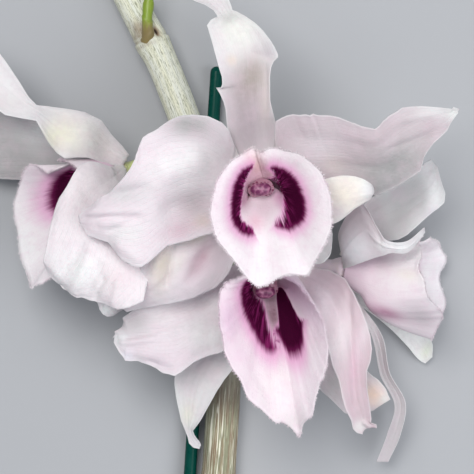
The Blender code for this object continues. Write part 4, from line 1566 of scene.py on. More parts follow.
def front_bloom() -> Bloom:
    """The bloom at the top of the heap, which looks straight up at the viewer.

    Returns:
        The bloom.
    """
    dorsal_sepal = Tepal("dorsal_sepal", Kind.SEPAL, 0, ribs=(
        (0.6, 18.4, 37, 9.6, 18.4, 37), (-2.2, 27, 40.5, 9.6, 27, 40), (-3.6, 36, 44, 8.2, 36, 43.5),
        (-5.6, 45.6, 46, 9.8, 44.8, 45), (-7.3, 52.6, 45, 6, 52.8, 46), (-4.9, 55, 43, -1, 56.6, 43.5),
        (-10.2, 58.8, 41, -2.2, 60.2, 42), (-15.5, 62.6, 38, -9.4, 64.8, 39.5),
        (-18.6, 66.4, 36, -17, 67.2, 36.5),
    ), left_edge=(
        (0.6, 18.4), (-1.8, 24.5), (-2.4, 27), (-2.7, 30.5), (-2.8, 32), (-3.4, 34), (-4.2, 35.8),
        (-5.2, 37.4), (-4.1, 37.1), (-3.6, 38), (-3.7, 40), (-4.6, 42.5), (-5.3, 45), (-6.2, 48.5),
        (-6.9, 51), (-7.5, 53), (-6.6, 54.2), (-4.8, 55), (-5.8, 56.5), (-8, 58), (-10.5, 58.9), (-13, 60.4),
        (-15.5, 62.6), (-18.6, 66.4),
    ), right_edge=(
        (9.6, 18.4), (9.9, 26), (9.6, 29), (8.9, 31.5), (8.3, 34), (8.2, 37), (8.2, 40), (8.6, 42.5),
        (9.2, 43.9), (10.3, 44.9), (10.3, 45.7), (9.4, 47.5), (8.2, 49.3), (6.5, 51.6), (4.5, 53.6),
        (2, 55.4), (0, 56.4), (-1.2, 56.8), (-2, 59.3), (-5.6, 62.8), (-9.4, 64.8), (-17, 67.2),
    ), folds=(
        Fold(7.4, 31, 7.2, 43, 0.7, -0.35), Fold(-1, 29, -2.2, 44, 1.1, -0.35),
        Fold(8.8, 44.6, 3, 46, 1, -0.5), Fold(-2, 50, 0.5, 55, 2.4, 0.7),
    ), spots=(
        # painted shade: the grey and brownish grey spots at (2.8, 29), (1.6, 36.4) and (4, 40.6) darken the
        # sepal's lower half, which faces away from the light
        Spot(2.8, 29, 6, (0.44, 0.37, 0.405), 0.9, 1.8, 90),
        Spot(1.6, 36.4, 4.6, (0.44, 0.37, 0.39), 0.85, 1.3, 90),
        Spot(4, 40.6, 3.8, (0.4, 0.345, 0.31), 0.85, 1.4, 80), Spot(8.2, 46.8, 2.2, (0.55, 0.54, 0.56), 0.6),
        Spot(7, 34.5, 1.6, (0.64, 0.57, 0.5), 0.45, 3.5, 90), Spot(-1.4, 44.2, 1.3, PEACH, 0.55),
        Spot(0, 51.5, 4.5, (0.86, 0.88, 0.8), 0.8),
    ), cup=(0.4, 1.2, 1.6, 1.2, 0.6, 0.2), wave=(0.3, 2.5, 0.1), rows=150, frill=0.15, blush=0.35,
        ground=(0.8, 0.79, 0.785))
    petal_right = Tepal("petal_right", Kind.PETAL, 74, ribs=(
        (9.4, 24, 41, 11, 10.6, 37.5), (13.6, 29.8, 45, 19, 10, 37.5), (23, 30, 47.5, 27, 10.6, 38),
        (34, 27.2, 48, 35.5, 10.8, 40), (41, 32, 47, 45.2, 15.6, 42.5), (49.6, 32.6, 46, 49.4, 23.8, 44.5),
        (55.4, 32, 45, 55.2, 31, 45),
    ), left_edge=(
        (9.4, 24), (9.7, 29), (11, 29.8), (12.5, 30.4), (14, 30.6), (15.5, 30.3), (17, 30.5), (18.2, 30.1),
        (18.9, 30.6), (19.6, 30.2), (20.5, 30.1), (23, 30.1), (25, 29.8), (27, 29.1), (28.5, 28.6),
        (29.5, 28.4), (31, 27.8), (32.8, 27.5), (34.4, 27.2), (35.5, 28), (36.5, 29.2), (38, 30.4),
        (40, 31.4), (41.2, 32.3), (43, 32.5), (46, 32.7), (49, 32.5), (51.5, 32.3), (53.8, 32), (54, 32.5),
        (55.6, 32),
    ), right_edge=(
        (11, 10.6), (19, 10), (27, 10.6), (35.5, 10.2), (38, 11.5), (40, 12.6), (42.5, 14.2), (44, 15.3),
        (45.8, 16.6), (46.2, 18.5), (46.6, 20), (47.6, 21.5), (49, 23.2), (51, 25), (52.6, 26.6),
        (53.5, 28.5), (55.2, 31),
    ), folds=(
        Fold(52.4, 27.4, 38, 22, 0.8, -0.5), Fold(50, 30.6, 41, 29.8, 1.4, 0.5),
        Fold(36, 24, 18, 26.6, 2.2, 0.5), Fold(43, 17, 24, 17, 2.4, -0.6),
    ), spots=(
        Spot(49.5, 31, 2.6, (0.76, 0.74, 0.745), 0.95, 2.2, 4), Spot(54, 30.8, 1.6, (0.86, 0.86, 0.84), 0.9),
        # painted shade: the dark grey spots at (38.5, 18) and (37, 13.6) darken the petal's lower part, which
        # lies in shade
        Spot(38.5, 18, 7, (0.33, 0.335, 0.33), 0.9, 1.3, 30),
        Spot(37, 13.6, 4.4, (0.33, 0.325, 0.33), 0.9, 1.6, 20),
        Spot(36, 26, 3.6, (0.62, 0.51, 0.55), 0.55, 1.8, 20),
        Spot(48, 28.4, 1.8, (0.56, 0.46, 0.5), 0.6, 1.6, 30),
        Spot(20.5, 22.6, 3.6, (0.74, 0.69, 0.72), 0.7, 1.5), Spot(24, 18, 2.6, (0.66, 0.62, 0.55), 0.4),
    ), cup=(0.4, 1.8, 1.6, 0.4, 0.8, 0.1), wave=(0.5, 2.6, 0.3), rows=150, frill=0.18,
        # the ground and flush: the tissue's greyish pink, made darker as painted shade
        ground=(0.6, 0.54, 0.565), flush=(0.56, 0.47, 0.51))
    petal_left = Tepal("petal_left", Kind.PETAL, -74, ribs=(
        (-1.5, 4, 40, -0.6, 23, 41), (-9, 0.5, 43, -7.2, 29.6, 46), (-19, -5, 45, -15.6, 30, 49),
        (-27, -7.2, 46, -24.2, 23.6, 50), (-33.6, -1.6, 46, -33, 12.6, 49.5),
        (-39.2, 2, 46, -39.4, 4.8, 46.5),
    ), left_edge=(
        (-1.5, 4), (-6, 1), (-12, -1), (-17.5, -2.2), (-20.5, -4.8), (-22.6, -6.6), (-24.2, -7.6),
        (-26.3, -7.2), (-28.8, -5.6), (-30.6, -3.2), (-32.2, -1.4), (-34.6, -0.6), (-37.4, 0.4), (-38.2, 2.2),
        (-39.4, 4.2),
    ), right_edge=(
        (-0.6, 23), (-2, 26.5), (-4, 28.6), (-7.5, 30.2), (-11, 30.6), (-14, 30.3), (-17, 29), (-20, 26.8),
        (-22.2, 25.8), (-23.5, 24.9), (-23.9, 23.4), (-24.2, 21.8), (-25, 19.8), (-26.4, 17.4), (-28, 15.2),
        (-29.4, 13.6), (-32, 11.2), (-33.8, 10.2), (-36.5, 7.8), (-38.8, 6.2), (-39.6, 5.4),
    ), folds=(
        Fold(-39.2, 6.1, -24, 6.6, 0.9, 0.45), Fold(-37.6, 4.7, -24, 5.5, 0.9, -0.32),
        Fold(-32, 1.6, -24.6, 5, 1, -0.5), Fold(-34, 3.2, -28, 3.4, 1.1, 0.4),
        Fold(-33, 10.2, -22, 12.2, 1.5, -0.9), Fold(-19, 16, -9, 19.6, 3.6, 1.3),
        Fold(-18, 6.6, -6, 10.2, 3, -1.3), Fold(-30, -1.6, -24, -5.6, 1.5, 0.6),
        Fold(-26, 20, -14, 24, 2.2, -0.5),
    ), spots=(
        # painted highlight: the near-white spot at (-14.5, 18.2); painted light: the near-white spot at
        # (-8.6, 15.6), where the lip casts its shadow; painted shade: the grey spots at (-27, 11), at (-10,
        # 8.6) beside the lip and at (-12, 28.2) at the top
        Spot(-14.5, 18.2, 4.6, (0.87, 0.86, 0.86), 0.85, 1.5, 10),
        Spot(-27, 11, 2.8, (0.55, 0.56, 0.56), 0.65, 2, 8),
        Spot(-10, 8.6, 3.6, (0.45, 0.38, 0.405), 0.8, 1.5, 25),
        Spot(-8.6, 15.6, 4.4, (0.98, 0.95, 0.96), 0.95, 1.3, 60),
        Spot(-14.5, 1.6, 2.6, (0.62, 0.43, 0.5), 0.7, 1.6, 20),
        Spot(-8.6, 3.8, 1.8, (0.7, 0.57, 0.5), 0.6, 1.6, 10),
        Spot(-12, 28.2, 3.4, (0.33, 0.33, 0.325), 0.9, 2, -5), Spot(-27.5, 1, 3, (0.8, 0.81, 0.8), 0.5, 1.4),
    ), cup=(0.4, 1.8, 1.2, -0.6, -0.5, 0), wave=(0.6, 2.3, 0.55), rows=150, columns=72, frill=0.2)
    lateral_sepal_left = Tepal("lateral_sepal_left", Kind.SEPAL, -140, ribs=(
        (1, -2, 34, -4.5, 3, 36.5), (-6.6, -8, 34, -12, 1.5, 38.5), (-13, -13.8, 34.5, -20.5, -3, 41),
        (-19, -15.6, 34.5, -26, -9.5, 40), (-24.4, -17.6, 34, -29.4, -14.6, 37.5),
        (-27.8, -18.6, 34, -28.8, -17.6, 35),
    ), left_edge=(
        (1, -2), (-2, -9), (-5.6, -13), (-10.6, -15.4), (-16, -16.4), (-21.4, -17.2), (-27.6, -18.7),
    ), right_edge=(
        (-4.5, 3.4), (-12, 2.6), (-18, 1), (-22.6, -3), (-25.6, -9), (-28.4, -14.6), (-28.9, -17.6),
    ), folds=(
        Fold(-15.6, -1, -17.6, -12, 0.8, -0.8), Fold(-19.4, -2.4, -21, -12.6, 1.7, 0.8),
        Fold(-6, 0, -12, -11, 1.6, -0.7),
    ), spots=(
        Spot(-18.8, -7.5, 2.6, (0.66, 0.61, 0.5), 0.85, 2.2, 80),
        Spot(-10, 0.8, 2.2, (0.8, 0.77, 0.62), 0.7, 1.6, 30),
        Spot(-9.2, -5.8, 2.3, (0.44, 0.27, 0.33), 0.85, 2.4, 57),
        # painted shade: the grey spot at (-4.2, -4.2) beside the rosy band
        Spot(-4.2, -4.2, 3, (0.5, 0.43, 0.46), 0.75, 1.8, 55),
        Spot(-14.4, -6, 1.6, (0.8, 0.76, 0.7), 0.5, 2.4, 70),
    ), cup=(0.3, 0.6, -1.6, -1.4, -0.6, 0), wave=(0.3, 2.5, 0.2), frill=0.3, rows=130)
    lateral_sepal_right = Tepal("lateral_sepal_right", Kind.SEPAL, 128, ribs=(
        (12.6, 7.6, 36, 10.6, 3, 35), (19, 13.2, 43.5, 18, 2.6, 38), (25.4, 15.2, 47, 24.6, 3.6, 42),
        (30.4, 14.9, 48, 29.2, 6.8, 45.5), (33.6, 13.2, 46.5, 32.8, 9.2, 45.5),
        (34.2, 11.8, 41, 33.6, 10.2, 40.5),
    ), spots=(
        Spot(27.5, 10.5, 3, (0.94, 0.87, 0.76), 0.8, 1.4),
        Spot(32.8, 12, 2, (0.86, 0.88, 0.88), 0.9, 1.5, 90), Spot(25.5, 6, 2.4, (0.88, 0.8, 0.82), 0.6),
    ), cup=(0.3, 0.8, -0.8, -1.4, -0.8, 0), wave=(0.2, 2, 0.4), frill=0.12, pleats=0.1, keel=0, blush=0.1,
        ground=(0.93, 0.88, 0.81))
    lip = Lip(rim=(
        (5.1, 21.7, 53), (1.2, 20.8, 54), (-3.4, 16.6, 56), (-6.2, 10.2, 57.5), (-6.3, 3.8, 58.5),
        (-4, -2.2, 59), (0, -8, 58.5), (6.2, -12.4, 56.5), (13.4, -10.4, 57.5), (19.2, -8.6, 58),
        (22.8, -2.4, 59), (23.7, 5, 58), (21.8, 12.6, 56.5), (15.6, 20, 54.5), (7.8, 22.2, 53.8),
        (4.7, 21.8, 53.2),
    ), outline=(
        (4, 22.2), (2.7, 21.4), (0.3, 19.9), (-2.3, 17.8), (-4.5, 14.7), (-5.7, 10.9), (-6.5, 6.3),
        (-6.1, 3.2), (-5.2, 0.3), (-3.7, -2.3), (-1.8, -4.5), (0.3, -7.1), (2, -9.7), (3.7, -11.4),
        (5.6, -12.6), (8.5, -11.6), (9.9, -10.6), (12.3, -9.7), (15, -9.4), (17.6, -9.6), (19, -7.3),
        (20.2, -5.2), (21.4, -2.8), (22.6, -0.6), (23.5, 2.2), (23.9, 5.1), (23.8, 7.5), (23, 10.9),
        (22.1, 13.5), (20.7, 16.4), (18.3, 18.7), (15.9, 20.2), (12.3, 21.4), (9.2, 22), (7.2, 21.6),
        (6, 21.1),
    ), spots=(
        Spot(6.4, 7.4, 4.8, (0.6, 0.47, 0.52), 0.9), Spot(4.4, 3.6, 2.2, (0.74, 0.48, 0.56), 0.8),
        # painted shade: the small dark spot at (2.6, 13) to the left of the column
        Spot(2.6, 13, 1.2, (0.32, 0.13, 0.21), 0.85, 1.6, 80),
        Spot(5.2, 15.2, 3, (0.46, 0.23, 0.31), 0.92, 1.2, 80),
        Spot(5, 17.8, 1.8, (0.7, 0.47, 0.45), 0.8, 1.6, 96),
        Spot(10.6, 10.2, 2, (0.48, 0.21, 0.35), 0.8, 1.7, -62),
        Spot(7.7, 16.2, 2.3, (0.38, 0.16, 0.22), 0.9, 1.2, 100),
        Spot(3.4, 15.2, 1.5, (0.4, 0.17, 0.25), 0.6, 1.5, 70),
        Spot(1.4, 9.2, 1.5, (0.34, 0.11, 0.21), 0.7, 2, 80),
        Spot(12.2, 7.6, 1.8, (0.5, 0.22, 0.38), 0.6, 1.6, -62), Spot(9.4, 19, 2.2, (0.84, 0.7, 0.77), 0.6),
        Spot(3, 20, 1.8, (0.84, 0.64, 0.68), 0.7), Spot(6.2, 14.6, 2.4, (0.74, 0.5, 0.56), 0.7, 1.6),
        Spot(14, 19.6, 2.2, (0.64, 0.59, 0.61), 0.7, 2.4, -28),
        Spot(-4, 7, 2.4, (0.88, 0.76, 0.82), 0.5, 2.4, 90),
    ), blotches=(
        Blotch((
            (-0.9, 0.845, 0.86), (-0.81, 0.79, 0.87), (-0.71, 0.745, 0.85), (-0.6, 0.715, 0.835),
            (-0.5, 0.722, 0.832), (-0.42, 0.745, 0.845), (-0.31, 0.795, 0.86), (-0.24, 0.808, 0.855),
            (-0.17, 0.8, 0.835),
        ), feather=0.6),
        Blotch((
            (0.07, 0.785, 0.8), (0.15, 0.762, 0.815), (0.24, 0.715, 0.828), (0.33, 0.64, 0.84),
            (0.43, 0.58, 0.835), (0.56, 0.56, 0.815), (0.7, 0.6, 0.82), (0.8, 0.68, 0.835),
            (0.87, 0.79, 0.82),
        ), feather=1.6),
        Blotch(((0.46, 0.43, 0.57), (0.58, 0.38, 0.58), (0.72, 0.42, 0.63), (0.82, 0.56, 0.7)), feather=7),
    ), tongue=(0, 1.6, 3.8, 5.4, 5.8, 3.8, 1.3, 0), tongue_width=0.3, parting=-0.5, blush=0.12,
        tube=((2.7, 1.8), (4.5, 5.8), (5.5, 11)), hairs=15000, hair_length=0.4, fringe=0.26)
    return Bloom(
        "front", hub=(6.2, 11.2, 36), faces=(0.08, -0.16, 0.98), upright=(-0.1, 1, 0.2),
        tepals=(dorsal_sepal, petal_right, petal_left, lateral_sepal_left, lateral_sepal_right),
        lip=lip, column=Column((-1.1, -0.4)),
    )


def lower_bloom() -> Bloom:
    """The bloom below the front one, which hangs its lip down towards the viewer.

    Returns:
        The bloom.
    """
    dorsal_sepal = Tepal("dorsal_sepal", Kind.SEPAL, 20, ribs=(
        (6, 0, 24, 13.4, -3.6, 24), (11, 8, 27.5, 19.6, -6.8, 26), (17.2, 9.8, 28.5, 23.2, -4.6, 27),
        (21.8, 5, 28, 23.9, 0.8, 27.5),
    ), cup=(0.3, 0.8, 0.8, 0), wave=(0.2, 2, 0.2), ground=(0.74, 0.76, 0.73), blush=0.3)
    petal_left = Tepal("petal_left", Kind.PETAL, -78, ribs=(
        (-1, -15.5, 26.5, 0.8, -6.4, 25.5), (-7.4, -31, 30, -9, -10.4, 29),
        (-16, -34.6, 31.5, -17.6, -14.6, 31), (-25.2, -31.6, 31, -25.6, -18, 31),
        (-30.6, -26.6, 30, -30.6, -22.6, 30),
    ), left_edge=(
        (-1, -15.5), (-1.6, -24), (-3.4, -28.8), (-7, -29.6), (-11, -31.4), (-14, -33.8), (-15.6, -34.7),
        (-17, -34.2), (-18.6, -34), (-20, -32.9), (-21.5, -32.2), (-23, -31.6), (-24.8, -31), (-26.5, -31.1),
        (-28, -31), (-28.3, -30.2), (-29.4, -28.8), (-30.2, -27.3), (-30.8, -26.3),
    ), right_edge=(
        (0.8, -6.4), (-9, -10.4), (-14, -13.3), (-17.5, -14.4), (-20, -15.2), (-21.5, -16.6), (-23.8, -16.9),
        (-25, -17.2), (-26.2, -18.4), (-27.6, -19.4), (-28.7, -20.3), (-28.4, -21.2), (-28.8, -22.4),
        (-29.6, -23), (-30.7, -23.6), (-30.4, -24.3), (-31.1, -25.4),
    ), folds=(
        Fold(-29, -26.4, -20, -25.4, 0.7, 0.55), Fold(-27.4, -25.3, -14, -21.6, 0.9, -0.6),
        Fold(-24, -29.4, -10, -27, 1.6, 0.5), Fold(-22, -31, -16, -33, 0.8, -0.5),
        Fold(-20, -19, -6, -16, 2.4, -0.8), Fold(-14, -24.6, -4, -24, 3.2, 0.9),
    ), spots=(
        Spot(-7.5, -24.5, 4.2, (0.84, 0.85, 0.84), 0.85, 1.3), Spot(-29, -25.5, 2, (0.88, 0.89, 0.9), 0.8),
        Spot(-27.2, -29.6, 1.6, (0.8, 0.82, 0.9), 0.7), Spot(-17, -17, 4.2, (0.84, 0.78, 0.8), 0.7, 2.2, 20),
        Spot(-25, -22, 3, (0.52, 0.5, 0.51), 0.7, 1.4, 10),
        # painted shade: the purple-grey spot at (-19, -31.4) along the petal's bottom
        Spot(-19, -31.4, 1.8, (0.62, 0.54, 0.6), 0.6, 2, -25), Spot(-5, -14.6, 3.6, (0.93, 0.87, 0.89), 0.8),
    ), cup=(0.3, 1.4, 1, -0.6, 0), wave=(0.6, 2.6, 0.35), frill=0.3, rows=130, columns=64)
    petal_right = Tepal("petal_right", Kind.PETAL, 74, ribs=(
        (18.4, -7.6, 24.5, 15.6, -13.8, 24), (27.2, -10, 29.5, 18, -18.6, 29), (32.2, -21, 33, 22, -26, 34),
        (33.8, -30.6, 33.5, 24.4, -34, 34.5), (33.4, -39.6, 33, 27.4, -42.4, 33.5),
        (34.6, -46.4, 31, 29.8, -49.2, 30.5),
    ), left_edge=(
        (18.4, -7.6), (23, -8.2), (27.2, -10.5), (29.2, -14), (31, -17.8), (32.4, -21.4), (33.4, -24.6),
        (33.8, -28), (33.3, -31), (32.3, -33.6), (32.4, -36.5), (32.9, -40), (33.4, -43.2), (33.6, -45.4),
        (33.5, -46.6), (34.9, -46.9), (34.9, -47.8),
    ), right_edge=(
        (15.6, -13.8), (17.6, -16.5), (19.6, -20), (21.6, -24.4), (22.8, -28), (24, -32.4), (25.4, -36),
        (26.2, -40), (27.2, -43.4), (28.5, -45.8), (29, -48), (30, -49), (31.4, -49.3),
    ), folds=(
        Fold(28, -14, 29.4, -42, 0.9, -0.6), Fold(25, -16, 27.4, -40, 1.8, 0.5),
        Fold(31.4, -46, 33.4, -47.4, 0.6, 0.7),
    ), spots=(
        Spot(29.2, -32, 1.5, (0.76, 0.53, 0.63), 0.7, 5, 86),
        Spot(25.6, -26, 3, (0.85, 0.81, 0.82), 0.6, 2.4, 75), Spot(30.6, -47.2, 1.8, (0.86, 0.84, 0.82), 0.8),
        # painted light: the pale pink spot at (21, -16.4) lightens what the front bloom shades
        Spot(21, -16.4, 4.4, (0.98, 0.86, 0.91), 0.95, 1.7, -72),
        Spot(31.8, -24, 1.4, (0.82, 0.76, 0.79), 0.5, 4, 75),
    ), cup=(0.3, 1.2, 1.4, 1, 0.3), wave=(0.4, 2.6, 0.1), rows=130, frill=0.2, ground=(0.64, 0.54, 0.57),
        flush=(0.62, 0.44, 0.5))
    lateral_sepal_left = Tepal("lateral_sepal_left", Kind.SEPAL, -146, ribs=(
        (4, -21, 19, -4, -18, 19), (0.6, -30, 20.5, -11.5, -26, 20), (-4.6, -38.4, 21, -15.8, -35.6, 20.5),
        (-9.2, -46.2, 19.5, -14, -44, 19), (-11.2, -49.6, 17.5, -12.8, -49, 17.5),
        (-9, -52, 16, -9.4, -53.2, 15.5),
    ), left_edge=(
        (4, -21), (0.6, -30), (-1.2, -33.2), (-3, -35.5), (-5, -38.4), (-7, -42), (-9.2, -46), (-11, -48.3),
        (-10.6, -49.4), (-10, -50.4), (-9.3, -51.2), (-9, -52),
    ), right_edge=(
        (-4, -18), (-11.5, -26), (-15.6, -34.8), (-15.6, -37), (-15.2, -40), (-14.6, -43), (-14, -46),
        (-13, -48.3), (-12.3, -50), (-12, -51.5), (-10.9, -52.6), (-9.4, -52.9),
    ), spots=(
        Spot(-12.6, -44.5, 2, (0.8, 0.8, 0.66), 0.6, 1.8, 75),
        Spot(-9, -33.6, 3.2, (0.7, 0.64, 0.66), 0.7, 1.6),
    ), cup=(0.3, 0.8, 0.8, 0.6, 0.1), wave=(0.2, 2, 0.3), frill=0.12, ground=(0.8, 0.795, 0.79), blush=0.3)
    lateral_sepal_right = Tepal("lateral_sepal_right", Kind.SEPAL, 140, ribs=(
        (17, -15.4, 20, 10.6, -20.4, 19), (25, -22.4, 21.5, 15.6, -29, 20), (31, -30, 22, 20.4, -36.6, 20.5),
        (36.2, -36, 22, 25.6, -42.6, 20), (38.2, -40.6, 21, 33, -44, 19.5),
    ), left_edge=(
        (17, -15.4), (25, -22.4), (31, -31), (33, -34), (35.4, -35.8), (37.2, -38), (38.3, -40.6),
    ), right_edge=(
        (10.6, -20.4), (15.6, -29), (20.5, -38), (23.4, -40.6), (27, -44), (31, -44.6), (34.2, -43.2),
    ), spots=(
        Spot(34, -39.4, 3, (0.95, 0.72, 0.58), 0.9), Spot(37, -40.6, 1.4, (0.88, 0.85, 0.8), 0.7),
        Spot(24, -37, 3, (0.62, 0.64, 0.61), 0.6),
    ), cup=(0.3, 0.8, 0.8, 0.4, 0.1), wave=(0.2, 2, 0.6), frill=0.15, ground=(0.72, 0.71, 0.7))
    lip = Lip(rim=(
        (6.8, -9.4, 40), (1.4, -9.4, 41), (-2.8, -12, 42), (-4.4, -18, 43.5), (-3.5, -24.6, 44),
        (-0.6, -33, 44.5), (5.2, -43, 43.5), (15.4, -50.2, 40), (19.4, -43.4, 43.5), (22, -35, 45),
        (22.4, -27, 45), (20.8, -20.2, 44), (17.6, -14.4, 43), (13, -10.6, 42), (8.8, -9.6, 41),
    ), outline=(
        (6.8, -9.4), (3, -9.6), (-0.8, -10.8), (-3.4, -13), (-4.3, -16), (-4.4, -20), (-3.6, -25),
        (-2.6, -29.6), (-1.2, -33), (0.8, -35.8), (2.2, -39), (3.2, -41), (5.5, -43), (7.5, -44.8),
        (9.2, -46.4), (10.2, -47), (11.2, -46.6), (12.6, -47.6), (14, -48.6), (15.4, -50.2), (16.2, -49.4),
        (16.4, -47.4), (17.2, -46), (18.4, -45.6), (19.2, -44), (19.8, -41.5), (20.4, -38.6), (22, -34),
        (22.8, -30), (22.6, -26), (21.8, -22.6), (20.6, -19.4), (18.6, -16), (15.8, -12.8), (12, -10.4),
        (9, -9.6),
    ), folds=(
        Fold(11, -33, 14, -47, 1.5, 0.3), Fold(5, -34, 9, -43, 1.2, -0.4),
    ), spots=(
        Spot(10, -37, 5, (0.84, 0.785, 0.79), 0.85, 1.5, 85),
        Spot(-2.2, -20, 2.4, (0.8, 0.58, 0.74), 0.7, 2.4, 95), Spot(1, -29.5, 2, (0.84, 0.66, 0.78), 0.5),
        # painted light: the pale spots at (18, -18) and (13.4, -13) lighten the front lip's shadow, and the
        # one at (17.5, -35) the right half, which faces away from the lamps
        Spot(18, -18, 2.4, (0.86, 0.72, 0.83), 0.6, 2.4, -60),
        Spot(13.4, -13, 2.6, (0.98, 0.74, 0.9), 0.98, 1.5, -50), Spot(14, -46, 3.2, (0.7, 0.645, 0.66), 0.8),
        Spot(9, -19, 2.6, (0.25, 0.14, 0.175), 1, 3, 98), Spot(17.5, -35, 3.6, (0.9, 0.83, 0.87), 0.7, 2, 72),
    ), blotches=(
        Blotch((
            (-0.82, 0.74, 0.8), (-0.71, 0.66, 0.803), (-0.59, 0.6, 0.8), (-0.48, 0.58, 0.79),
            (-0.34, 0.59, 0.79), (-0.24, 0.61, 0.8), (-0.16, 0.67, 0.815), (-0.11, 0.75, 0.822),
            (-0.07, 0.795, 0.812),
        ), feather=2.6, rim_feather=1.3),
        Blotch((
            (0, 0.73, 0.78), (0.025, 0.62, 0.8), (0.05, 0.545, 0.82), (0.08, 0.5, 0.83), (0.115, 0.49, 0.836),
            (0.155, 0.57, 0.843), (0.195, 0.66, 0.846), (0.235, 0.73, 0.828), (0.26, 0.77, 0.8),
        ), rim_feather=1.5),
    ), wave=(0.4, 7), parting=0.4, hairs=14000, hair_length=0.4, fringe=0.28)
    return Bloom(
        "lower", hub=(7.8, -8, 22), faces=(0.13, -0.46, 0.88), upright=(-0.1, 0.88, 0.45),
        tepals=(dorsal_sepal, petal_left, petal_right, lateral_sepal_left, lateral_sepal_right),
        lip=lip, column=Column((-2.4, -2.4)),
    )


